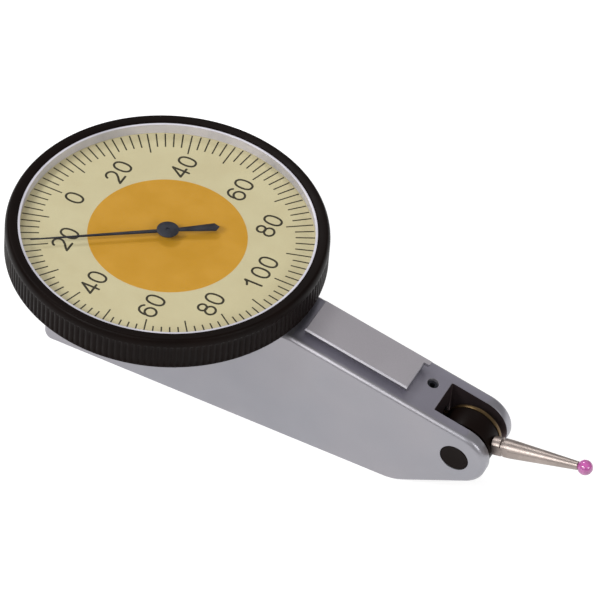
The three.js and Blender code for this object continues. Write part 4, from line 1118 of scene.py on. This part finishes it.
def bezel_profile(sizes):
    """Profile of the bezel, from the foot up the outside, over the rim and down the inside"""
    top = BEZEL_HIGH.z
    foot = BEZEL_LOW.z
    crown = FACE + sizes.crown_height
    band = foot + sizes.foot_band
    lip_foot = RING_HIGH.z + SEAT_GAP
    lip = RING_BORE + LIP_REACH
    lip_edge = lip + LIP_LEAN
    lip_top = top - LIP_SLOPE
    bore = BEZEL_RADIUS - sizes.wall
    skirt = BEZEL_RADIUS - SKIRT_WALL
    web = skirt - 2 * RUN_GAP - WEB_REACH
    web_top = DIAL_LOW.z - SEAT_GAP
    web_foot = web_top - WEB_THICKNESS
    corner = sizes.foot_round
    outside = arc(BEZEL_RADIUS - corner, foot + corner, corner, -math.pi / 2, 0, steps=4)
    full, fading = band + GROOVE_RUN_OUT, crown - GROOVE_RUN_OUT
    heights = [band, *levels(band, full, 2), *levels(full, fading, 4), *levels(fading, crown, 4)]
    outside += [(BEZEL_RADIUS, height) for height in heights]
    rim = [(BEZEL_RADIUS - sizes.rim_setback * (1 - math.cos(turn)), crown + (top - crown) * math.sin(turn))
           for turn in levels(0.0, math.pi / 2, 12)]
    inside = [(lip_edge + LIP_BEVEL, lip_top), (lip_edge, lip_top - LIP_BEVEL_DROP),
              (lip, lip_foot), (bore, lip_foot), (bore, web_top), (web, web_top), (web, web_foot),
              (skirt, web_foot), *spring_groove(skirt, skirt + WIRE_RADIUS + SPRING_ROOM, False),
              (skirt, foot)]
    return outside + rim + inside


def bezel(sizes):
    """The bezel with its grooves, which start over a plain band and end under the rim"""
    crown = FACE + sizes.crown_height
    band = BEZEL_LOW.z + sizes.foot_band
    inside = BEZEL_RADIUS - sizes.wall / 2

    def grooved(radius, height, turn):
        if radius < inside or not band <= height <= crown:
            return radius
        depth = sizes.groove_depth * min(1.0, (crown - height) / GROOVE_RUN_OUT,
                                         (height - band) / GROOVE_RUN_OUT)
        return radius - depth * (1 - abs(math.sin(turn * sizes.groove_count / 2)))
    return turned(bezel_profile(sizes), sizes.groove_count * GROOVE_STEPS, grooved)


def bright_ring(sizes):
    """Ring between the dial and the lip: it leans in a little above the crystal"""
    outer = RING_HIGH.x
    top = RING_HIGH.z
    lean = RING_BORE - sizes.ring_lean
    over_crystal = CRYSTAL_HIGH.z + PRESS_GAP
    profile = [(RING_BORE, RING_LOW.z), (outer, RING_LOW.z), (outer, top), (lean, top),
               (lean, over_crystal), (RING_BORE, over_crystal)]
    return turned(outline_round(profile, RING_EDGE, steps=2), LARGE_STEPS)


def head_plate(screws):
    """The plate that the bezel turns on, its flange over a narrower foot"""
    low = PLATE_LOW.z
    top = PLATE_HIGH.z
    radius = PLATE_HIGH.x
    foot_radius = radius - FLANGE_OVERHANG
    flange = top - FLANGE_THICKNESS
    jewel = half_width("spindle_jewel_upper") + PRESS_GAP
    jewel_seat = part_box("spindle_jewel_upper")[0].z - SEAT_GAP
    profile = [(SPINDLE_BORE, low), (foot_radius, low), (foot_radius, flange), (radius, flange),
               *spring_groove(radius, radius - WIRE_RADIUS - SPRING_ROOM, True),
               (radius, top), (jewel, top), (jewel, jewel_seat), (SPINDLE_BORE, jewel_seat)]
    shape = turned(outline_round(profile, PLATE_EDGE, steps=3), LARGE_STEPS)
    sink = top - screws.head_height - SEAT_GAP
    return cut(shape, *bores(HEAD_SCREWS, (screws.radius, low - OVERRUN, top),
                             (screws.head_radius, sink, top + OVERRUN)))


# Pointer

def needle(sizes):
    """Needle with a ridge down its middle, drawn along X and turned to where it rests"""
    reach = RING_BORE - TIP_GAP
    shoulder = reach - sizes.tip_width
    tip = sizes.tip_width / 2
    waist = sizes.waist_width / 2
    tail = sizes.tail_width / 2
    wide = -sizes.tail + TAIL_POINT
    low = NEEDLE_LOW.z
    edge = NEEDLE_HIGH.z - RIDGE_FALL
    half = [(shoulder, tip), (CAP_RADIUS, waist), (-CAP_RADIUS, waist), (wide, tail)]
    outline = [(reach, 0), *half, (-sizes.tail, 0), *[(x, -y) for x, y in reversed(half)]]
    blade = bmesh.new()
    rings = [[blade.verts.new((x * long, y * broad, z)) for x, y in outline]
             for long, broad, z in ((1, 1, low), (1, 1, edge),
                                    (RIDGE_LENGTH, RIDGE_WIDTH, NEEDLE_HIGH.z))]
    bridge(blade, rings)
    blade.faces.new(rings[2])
    blade.faces.new(rings[0][::-1])
    bmesh.ops.recalc_face_normals(blade, faces=blade.faces)
    hub = rod(CAP_RADIUS - LOOSE_GAP, low, edge, MEDIUM_STEPS)
    bore = rod(CAP_STEM + PRESS_GAP, low - OVERRUN, NEEDLE_HIGH.z + OVERRUN)
    shape = cut(join(blade, hub), bore)
    shape.transform(Matrix.Rotation(sizes.rest_angle, 4, "Z"))
    return shape


def pointer_cap():
    """Domed button with a stem through the needle and a foot under it"""
    seat = NEEDLE_HIGH.z + PRESS_GAP
    under = NEEDLE_LOW.z - PRESS_GAP
    fall = (CAP_HIGH.z - seat) * CAP_DOME
    dome = [(CAP_RADIUS * out + CAP_BORE * (1 - out), CAP_HIGH.z - fall * out ** 2)
            for out in [1.0, *levels(1.0, 0.0, 8)]]
    profile = [(CAP_BORE, CAP_LOW.z), (CAP_FOOT, CAP_LOW.z), (CAP_FOOT, under), (CAP_STEM, under),
               (CAP_STEM, seat), (CAP_RADIUS, seat), *dome]
    return turned(profile, MEDIUM_STEPS)


# Lever and stylus

def lever_piece(sizes):
    """Brass lever: disc behind the drum, boss, and arm to the drive pin"""
    low = LEVER_LOW.y
    high = low + LEVER_SHEET
    pin = half_width("drive_pin")
    reach = PIVOT.x - middle("drive_pin").x
    wide = sizes.arm_width / 2
    thin = sizes.arm_tip_width / 2
    disc = turned(outline_round(box_outline(HUB_RADIUS + DISC_RIM, low, high), sizes.edge, steps=2),
                  LARGE_STEPS)
    arm = slab([(0, -wide), (0, wide), (-reach, thin), (-reach, -thin)], low, high)
    tip = across(rod(pin + PIN_WALL, low, high), -reach)
    boss = across(rod(BOSS_RADIUS, low, LEVER_HIGH.y))
    bore = across(rod(ARBOR_RADIUS + PRESS_GAP, low - OVERRUN, LEVER_HIGH.y + OVERRUN))
    pin_hole = across(rod(pin + PRESS_GAP, low - OVERRUN, high + OVERRUN), -reach)
    shape = cut(join(across(disc), arm, tip, boss), bore, pin_hole)
    shape.transform(PIVOT_PLACE)
    return shape


def stylus_frame(sizes):
    """Placing of the stylus: X along its axis from the pivot, in the middle of the drum"""
    place = Matrix.Translation((PIVOT.x, middle("swivel_hub").y, PIVOT.z))
    return place @ Matrix.Rotation(-sizes.tilt, 4, "Y")


def drum(sizes):
    """The drum on the lever's arbor, with a socket for the stylus"""
    half = half_width("swivel_hub", "y")
    bore = ARBOR_RADIUS + RUN_GAP
    profile = outline_round(tube_outline(bore, HUB_RADIUS, -half, half), sizes.edge, steps=3)
    low = HUB_RADIUS - STUD_LENGTH - SEAT_GAP
    socket = rod(STUD_RADIUS + SEAT_GAP, low, HUB_RADIUS + OVERRUN)
    socket.transform(TO_X)
    shape = cut(across(turned(profile, LARGE_STEPS)), socket)
    shape.transform(stylus_frame(sizes))
    return shape


def shank(sizes):
    """Stylus shank: stud, collar, neck, root and cone, with two wrench flats"""
    foot = HUB_RADIUS + 2 * SEAT_GAP
    collar_top = foot + sizes.collar_length
    neck_top = collar_top + sizes.neck_length
    root_top = neck_top + sizes.root_length
    dip = math.sqrt(sizes.ball_radius ** 2 - sizes.tip_radius ** 2)
    end = sizes.reach - dip - SEAT_GAP
    stud, collar, neck, root = STUD_RADIUS, sizes.collar_radius, sizes.neck_radius, sizes.root_radius
    stud_end = HUB_RADIUS - STUD_LENGTH
    profile = [(0, stud_end), (stud, stud_end), (stud, foot), (collar, foot), (collar, collar_top),
               (neck, collar_top), (neck, neck_top), (root, neck_top), (root, root_top),
               (sizes.tip_radius, end), (0, end)]
    shape = turned(outline_round(profile, sizes.edge, steps=3), MEDIUM_STEPS)
    half = sizes.flat_width / 2
    low = foot - SEAT_GAP
    flat_end = foot + sizes.flat_length
    wide = collar + OVERRUN
    shape = cut(shape, block((-wide, half, low), (wide, half + OVERRUN, flat_end)),
                block((-wide, -half - OVERRUN, low), (wide, -half, flat_end)))
    shape.transform(stylus_frame(sizes) @ TO_X)
    return shape


def ball(sizes):
    """The ball at the end of the stylus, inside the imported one"""
    shape = bmesh.new()
    radius = min(sizes.ball_radius, *(half_width("ball", axis) for axis in "xyz"))
    bmesh.ops.create_icosphere(shape, subdivisions=5, radius=radius)
    shape.transform(stylus_frame(sizes) @ Matrix.Translation((sizes.reach, 0, 0)))
    return shape


# Operators

# The plug's dished face, as shares of its radius and of its depth
PLUG_DISH = ((0.75, 0.3), (0.35, 1.0), (0.0, 1.0))
KEY_SIDES = 6

# Least upward part of the normal of a face that counts as level; level faces of the shoulder and platform
# get the darker steel, painted shade
LEVEL_NORMAL = 0.97


class IndicatorOperator:
    """What the operators share"""
    bl_options = {"REGISTER", "UNDO"}


class INDICATOR_OT_body(IndicatorOperator, bpy.types.Operator):
    """Build the body with its rail, clevis and hollow"""
    bl_idname = "indicator.body"
    bl_label = "Body"

    def execute(self, context):
        sizes = context.scene.indicator_body
        shape = body_block(sizes, context.scene.indicator_screws)
        piece = add_piece("body_block", shape, "satin_steel", "case", "body")
        # Painted light and shade: the body's faces get a lighter copy of its steel on the rail's top and
        # darker copies on the level shoulder and inside the slot
        for finish in ("ground_steel", "milled_steel", "slot_steel"):
            piece.data.materials.append(material_named(finish))
        slope_frame = shoulder_frame().inverted()
        rear = SLOT_REAR - AXIS_TOLERANCE
        side = HALF_SLOT + AXIS_TOLERANCE
        for face in piece.data.polygons:
            over_shoulder = (slope_frame @ face.center).z
            upper = face.center.z > PLATFORM / 2 and over_shoulder > -LOOSE_GAP
            # Rail top: the lighter copy, painted light
            if over_shoulder > sizes.rail_height - AXIS_TOLERANCE:
                face.material_index = 1
            # Inside the slot: the dark copy, painted shade
            elif face.center.x > rear and abs(face.center.y) < side:
                face.material_index = 3
            # Level faces of the shoulder and platform: the darker copy, painted shade
            elif face.normal.z > LEVEL_NORMAL and upper:
                face.material_index = 2
        return {"FINISHED"}


class INDICATOR_OT_underside(IndicatorOperator, bpy.types.Operator):
    """Build the cover under the body and its two screws"""
    bl_idname = "indicator.underside"
    bl_label = "Underside cover"

    def execute(self, context):
        screws = context.scene.indicator_screws
        radius, head_radius, head = screws.small_radius, screws.small_head_radius, screws.small_head_height
        plate = block(COVER_LOW, COVER_HIGH)
        soften(plate, COVER_ROUND, is_corner)
        holes = bores(COVER_SCREWS, (radius, -OVERRUN, COVER_HIGH.z + OVERRUN),
                      (head_radius, -OVERRUN, head + 2 * SEAT_GAP), steps=SMALL_STEPS)
        add_piece("cover_plate", cut(plate, *holes), "satin_steel", "case", "underside_cover")
        low = COVER_SCREW_LOW.z
        for side in ("rear", "front"):
            node = f"cover_screw_{side}"
            shape = slotted_screw(radius, COVER_SCREW_HIGH.z - low - head, head_radius, head, screws)
            turn = Matrix.Rotation(math.pi, 4, "X")
            shape.transform(Matrix.Translation((middle(node).x, 0, head + low)) @ turn)
            add_piece(f"cover_fixing_{side}", shape, "screw_steel", "case", node)
        return {"FINISHED"}


class INDICATOR_OT_bearings(IndicatorOperator, bpy.types.Operator):
    """Build the two black bearing plugs and the locking screw"""
    bl_idname = "indicator.bearings"
    bl_label = "Plugs and locking screw"

    def execute(self, context):
        screws = context.scene.indicator_screws
        jewel = half_width("pivot_jewel_near") + PRESS_GAP
        inner = -PLUG_HIGH.y
        outer = -PLUG_LOW.y
        pocket = inner + PLUG_POCKET
        edge = PLUG_RADIUS - PLUG_CHAMFER
        face = [(PLUG_RADIUS * out, outer - PLUG_DISH_DEPTH * down) for out, down in PLUG_DISH]
        for side, turn in (("near", math.pi), ("far", 0.0)):
            profile = [(0, pocket), (jewel, pocket), (jewel, inner), (PLUG_RADIUS, inner),
                       (PLUG_RADIUS, outer - PLUG_CHAMFER), (edge, outer), *face]
            shape = across(turned(profile, MEDIUM_STEPS))
            shape.transform(PIVOT_PLACE @ Matrix.Rotation(turn, 4, "Z"))
            add_piece(f"bearing_plug_{side}", shape, "black_metal", "case", f"pivot_plug_{side}")
        top = -LOCK_SINK
        body = outline_round(box_outline(LOCK_RADIUS, top - LOCK_LENGTH, top), screws.edge, steps=3)
        key = rod(screws.key_radius, top - KEY_DEPTH, OVERRUN, KEY_SIDES)
        shape = cut(turned(body, SMALL_STEPS), key)
        shape.transform(shoulder_frame(lock_hole_along(), LOCK_PLACE.y))
        add_piece("locking_screw", shape, "blued_steel", "case", "lock_screw")
        return {"FINISHED"}


class INDICATOR_OT_head_plate(IndicatorOperator, bpy.types.Operator):
    """Build the plate that carries the bezel"""
    bl_idname = "indicator.head_plate"
    bl_label = "Head plate"

    def execute(self, context):
        shape = head_plate(context.scene.indicator_screws)
        add_piece("head_base", shape, "satin_steel", "case", "head_plate")
        return {"FINISHED"}


class INDICATOR_OT_bezel(IndicatorOperator, bpy.types.Operator):
    """Build the bezel, the bright ring and the crystal"""
    bl_idname = "indicator.bezel"
    bl_label = "Bezel and crystal"

    def execute(self, context):
        sizes = context.scene.indicator_head
        plate = box_outline(CRYSTAL_HIGH.x, CRYSTAL_LOW.z, CRYSTAL_HIGH.z)
        plate = turned(outline_round(plate, CRYSTAL_EDGE, steps=2), LARGE_STEPS)
        add_piece("bezel_grip", bezel(sizes), "black_metal", "bezel", "bezel_ring")
        add_piece("bright_ring", bright_ring(sizes), "bright_metal", "bezel", "dial_ring")
        add_piece("crystal_plate", plate, "crystal", "bezel", "crystal")
        return {"FINISHED"}


class INDICATOR_OT_dial(IndicatorOperator, bpy.types.Operator):
    """Build the dial plate and what is printed on it"""
    bl_idname = "indicator.dial"
    bl_label = "Dial"

    def execute(self, context):
        sizes = context.scene.indicator_dial
        bore, radius = SPINDLE_BORE, sizes.disc_radius
        top = FACE + PRINT_FILM
        plate = turned(tube_outline(bore, DIAL_HIGH.x, DIAL_LOW.z, FACE), LARGE_STEPS)
        disc = turned([(bore, FACE), (radius, FACE), (radius - PRINT_FILM, top), (bore, top)], LARGE_STEPS)
        add_piece("dial_face", plate, "dial_enamel", "bezel", "dial_plate")
        add_piece("dial_disc", disc, "dial_orange", "bezel")
        add_piece("dial_lines", division_lines(sizes, FACE, top), "dial_ink", "bezel")
        add_piece("dial_numbers", numbers(sizes, FACE, top), "dial_ink", "bezel")
        return {"FINISHED"}


class INDICATOR_OT_pointer(IndicatorOperator, bpy.types.Operator):
    """Build the pointer and its cap"""
    bl_idname = "indicator.pointer"
    bl_label = "Pointer"

    def execute(self, context):
        sizes = context.scene.indicator_pointer
        add_piece("pointer_needle", needle(sizes), "blued_steel", "pointer", "pointer")
        add_piece("pointer_button", pointer_cap(), "blued_steel", "pointer", "pointer_cap")
        return {"FINISHED"}


class INDICATOR_OT_lever(IndicatorOperator, bpy.types.Operator):
    """Build the brass lever in the clevis"""
    bl_idname = "indicator.lever"
    bl_label = "Lever"

    def execute(self, context):
        add_piece("lever_disc", lever_piece(context.scene.indicator_stylus), "brass", "lever", "lever")
        return {"FINISHED"}


class INDICATOR_OT_stylus(IndicatorOperator, bpy.types.Operator):
    """Build the drum, the stylus shank and the ruby ball"""
    bl_idname = "indicator.stylus"
    bl_label = "Stylus"

    def execute(self, context):
        sizes = context.scene.indicator_stylus
        add_piece("stylus_drum", drum(sizes), "black_metal", "stylus", "swivel_hub")
        add_piece("stylus_stem", shank(sizes), "stylus_steel", "stylus", "stylus_shank")
        add_piece("ruby_ball", ball(sizes), "ruby", "stylus", "ball")
        return {"FINISHED"}


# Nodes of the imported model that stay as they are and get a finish
KEPT_NODES = {
    "screw_steel": ("head_screw_rear", "head_screw_front", "movement_screw_rear", "movement_screw_front",
                    "cock_screw", "crown_arbor", "sector_arbor", "lever_arbor", "drive_pin"),
    "brass": ("side_plate_near", "side_plate_far", "pillar_rear", "pillar_front", "spacer_rear",
              "spacer_front", "cock", "crown_wheel", "collet", "hairspring_stud", "sector_lever"),
    "spring_steel": ("bezel_spring", "hairspring", "friction_washer"),
    "blued_steel": ("clamp_collar", "spindle"),
    "jewel": ("pivot_jewel_near", "pivot_jewel_far", "spindle_jewel_lower", "spindle_jewel_upper",
              "crown_jewel_near", "crown_jewel_far", "sector_jewel_near", "sector_jewel_far"),
}


class INDICATOR_OT_movement(IndicatorOperator, bpy.types.Operator):
    """Give the movement's own pieces their finish"""
    bl_idname = "indicator.movement"
    bl_label = "Movement"

    def execute(self, context):
        for finish, nodes in KEPT_NODES.items():
            for node in nodes:
                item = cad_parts[node]
                item.data.materials.clear()
                item.data.materials.append(material_named(finish))
        return {"FINISHED"}


# Lights: bearing and height in degrees, distance, width and depth, and power
LIGHTS = {
    "front_light": (-125, 40, 1.1, (0.3, 0.3), 4.8),
    "edge_light": (-92, 41, 1.1, (0.7, 0.45), 2.4),
    "side_light": (-15, 30, 1.1, (0.4, 0.4), 3.0),
    "back_light": (91, 36, 1.1, (0.4, 0.3), 0.3),
    "top_light": (140, 52, 1.0, (0.24, 0.24), 2.0),
}
LIGHT_AIM = Vector((0.015, 0, 0.01))

# How bright the room is where it lights the object and where the camera sees it
ROOM_LIGHT, ROOM_SEEN = 0.31, 1.0
ROOM_TINT = (1.0, 0.98, 1.0, 1.0)
FLOOR_GREY = (0.5, 0.5, 0.5, 1.0)
SENSOR_WIDTH = 36.0


def outward_from(bearing, height):
    level = math.cos(height)
    return Vector((level * math.cos(bearing), level * math.sin(bearing), math.sin(height)))


def looking_back(aim, outward, distance):
    """Placing of a lamp or a camera that looks at its aim"""
    turn = outward.to_track_quat("Z", "Y").to_matrix().to_4x4()
    return Matrix.Translation(aim + outward * distance) @ turn


def add_floor(scene, stage):
    """White to the camera and in reflections, and still dark where the object's shadow falls"""
    half = stage.floor_size / 2
    shape = bmesh.new()
    corners = ((-half, -half, 0), (half, -half, 0), (half, half, 0), (-half, half, 0))
    shape.faces.new([shape.verts.new(corner) for corner in corners])
    look = Surface("floor", Base_Color=FLOOR_GREY, Roughness=0.9, Specular_IOR_Level=0.1,
                   Emission_Color=(1.0, 1.0, 1.0, 1.0))
    path = look.node("ShaderNodeLightPath").outputs
    either = look.math("MAXIMUM", path["Is Camera Ray"], path["Is Glossy Ray"])
    seen = look.math("MAXIMUM", either, path["Is Transmission Ray"])
    look.feed(look.shader.inputs["Emission Strength"], look.math("MULTIPLY", seen, stage.floor_glow))
    mesh = finished(shape, "floor")
    mesh.materials.append(look.material)
    floor = bpy.data.objects.new("floor", mesh)
    floor.location.z = -SEAT_GAP
    scene.collection.objects.link(floor)


def add_light(scene, name, bearing, height, distance, size, power):
    data = bpy.data.lights.new(name, "AREA")
    data.shape = "RECTANGLE"
    data.size, data.size_y = size
    data.energy = power
    lamp = bpy.data.objects.new(name, data)
    scene.collection.objects.link(lamp)
    outward = outward_from(math.radians(bearing), math.radians(height))
    lamp.matrix_world = looking_back(LIGHT_AIM, outward, distance)


def add_room(scene):
    world = bpy.data.worlds.new("soft_room")
    room = NodeTree(world)
    seen = room.node("ShaderNodeLightPath").outputs["Is Camera Ray"]
    background = room.nodes["Background"].inputs
    room.feed(background["Color"], ROOM_TINT)
    room.feed(background["Strength"], room.spread(seen, start=ROOM_LIGHT, end=ROOM_SEEN))
    scene.world = world


def add_camera(scene, stage):
    data = bpy.data.cameras.new("camera")
    data.lens = stage.lens
    data.sensor_width = SENSOR_WIDTH
    data.clip_start = 0.01
    data.clip_end = 20.0
    camera = bpy.data.objects.new("camera", data)
    scene.collection.objects.link(camera)
    aim = Vector((stage.aim_x, stage.aim_y, stage.aim_z))
    outward = outward_from(stage.bearing, stage.elevation)
    camera.matrix_world = looking_back(aim, outward, stage.distance) @ Matrix.Rotation(stage.roll, 4, "Z")
    scene.camera = camera


class INDICATOR_OT_stage(IndicatorOperator, bpy.types.Operator):
    """Set up the floor, the lights and the camera"""
    bl_idname = "indicator.stage"
    bl_label = "Stage"

    def execute(self, context):
        scene = context.scene
        add_floor(scene, scene.indicator_stage)
        for name, values in LIGHTS.items():
            add_light(scene, name, *values)
        add_room(scene)
        add_camera(scene, scene.indicator_stage)
        scene.view_settings.view_transform = "Standard"
        return {"FINISHED"}


class INDICATOR_PT_panel(bpy.types.Panel):
    """Lists what builds the indicator"""
    bl_idname = "INDICATOR_PT_panel"
    bl_label = "Dial test indicator"
    bl_space_type = "VIEW_3D"
    bl_region_type = "UI"
    bl_category = "Indicator"

    def draw(self, context):
        for operator in OPERATORS:
            self.layout.operator(operator.bl_idname)


OPERATORS = (
    INDICATOR_OT_body, INDICATOR_OT_underside, INDICATOR_OT_bearings, INDICATOR_OT_head_plate,
    INDICATOR_OT_bezel, INDICATOR_OT_dial, INDICATOR_OT_pointer, INDICATOR_OT_lever, INDICATOR_OT_stylus,
    INDICATOR_OT_movement, INDICATOR_OT_stage,
)

GROUPS = {
    "indicator_body": BodySizes,
    "indicator_screws": ScrewSizes,
    "indicator_head": HeadSizes,
    "indicator_dial": DialSizes,
    "indicator_pointer": PointerSizes,
    "indicator_stylus": StylusSizes,
    "indicator_finishes": Finishes,
    "indicator_stage": StageSettings,
}


def register():
    for group in GROUPS.values():
        bpy.utils.register_class(group)
    for operator in OPERATORS:
        bpy.utils.register_class(operator)
    bpy.utils.register_class(INDICATOR_PT_panel)
    for name, group in GROUPS.items():
        setattr(bpy.types.Scene, name, PointerProperty(type=group))


def unregister():
    for name in GROUPS:
        delattr(bpy.types.Scene, name)
    bpy.utils.unregister_class(INDICATOR_PT_panel)
    for operator in reversed(OPERATORS):
        bpy.utils.unregister_class(operator)
    for group in GROUPS.values():
        bpy.utils.unregister_class(group)


def main():
    register()
    bpy.ops.indicator.body()
    bpy.ops.indicator.underside()
    bpy.ops.indicator.bearings()
    bpy.ops.indicator.head_plate()
    bpy.ops.indicator.bezel()
    bpy.ops.indicator.dial()
    bpy.ops.indicator.pointer()
    bpy.ops.indicator.lever()
    bpy.ops.indicator.stylus()
    bpy.ops.indicator.movement()
    bpy.ops.indicator.stage()


if __name__ == "__main__":
    main()
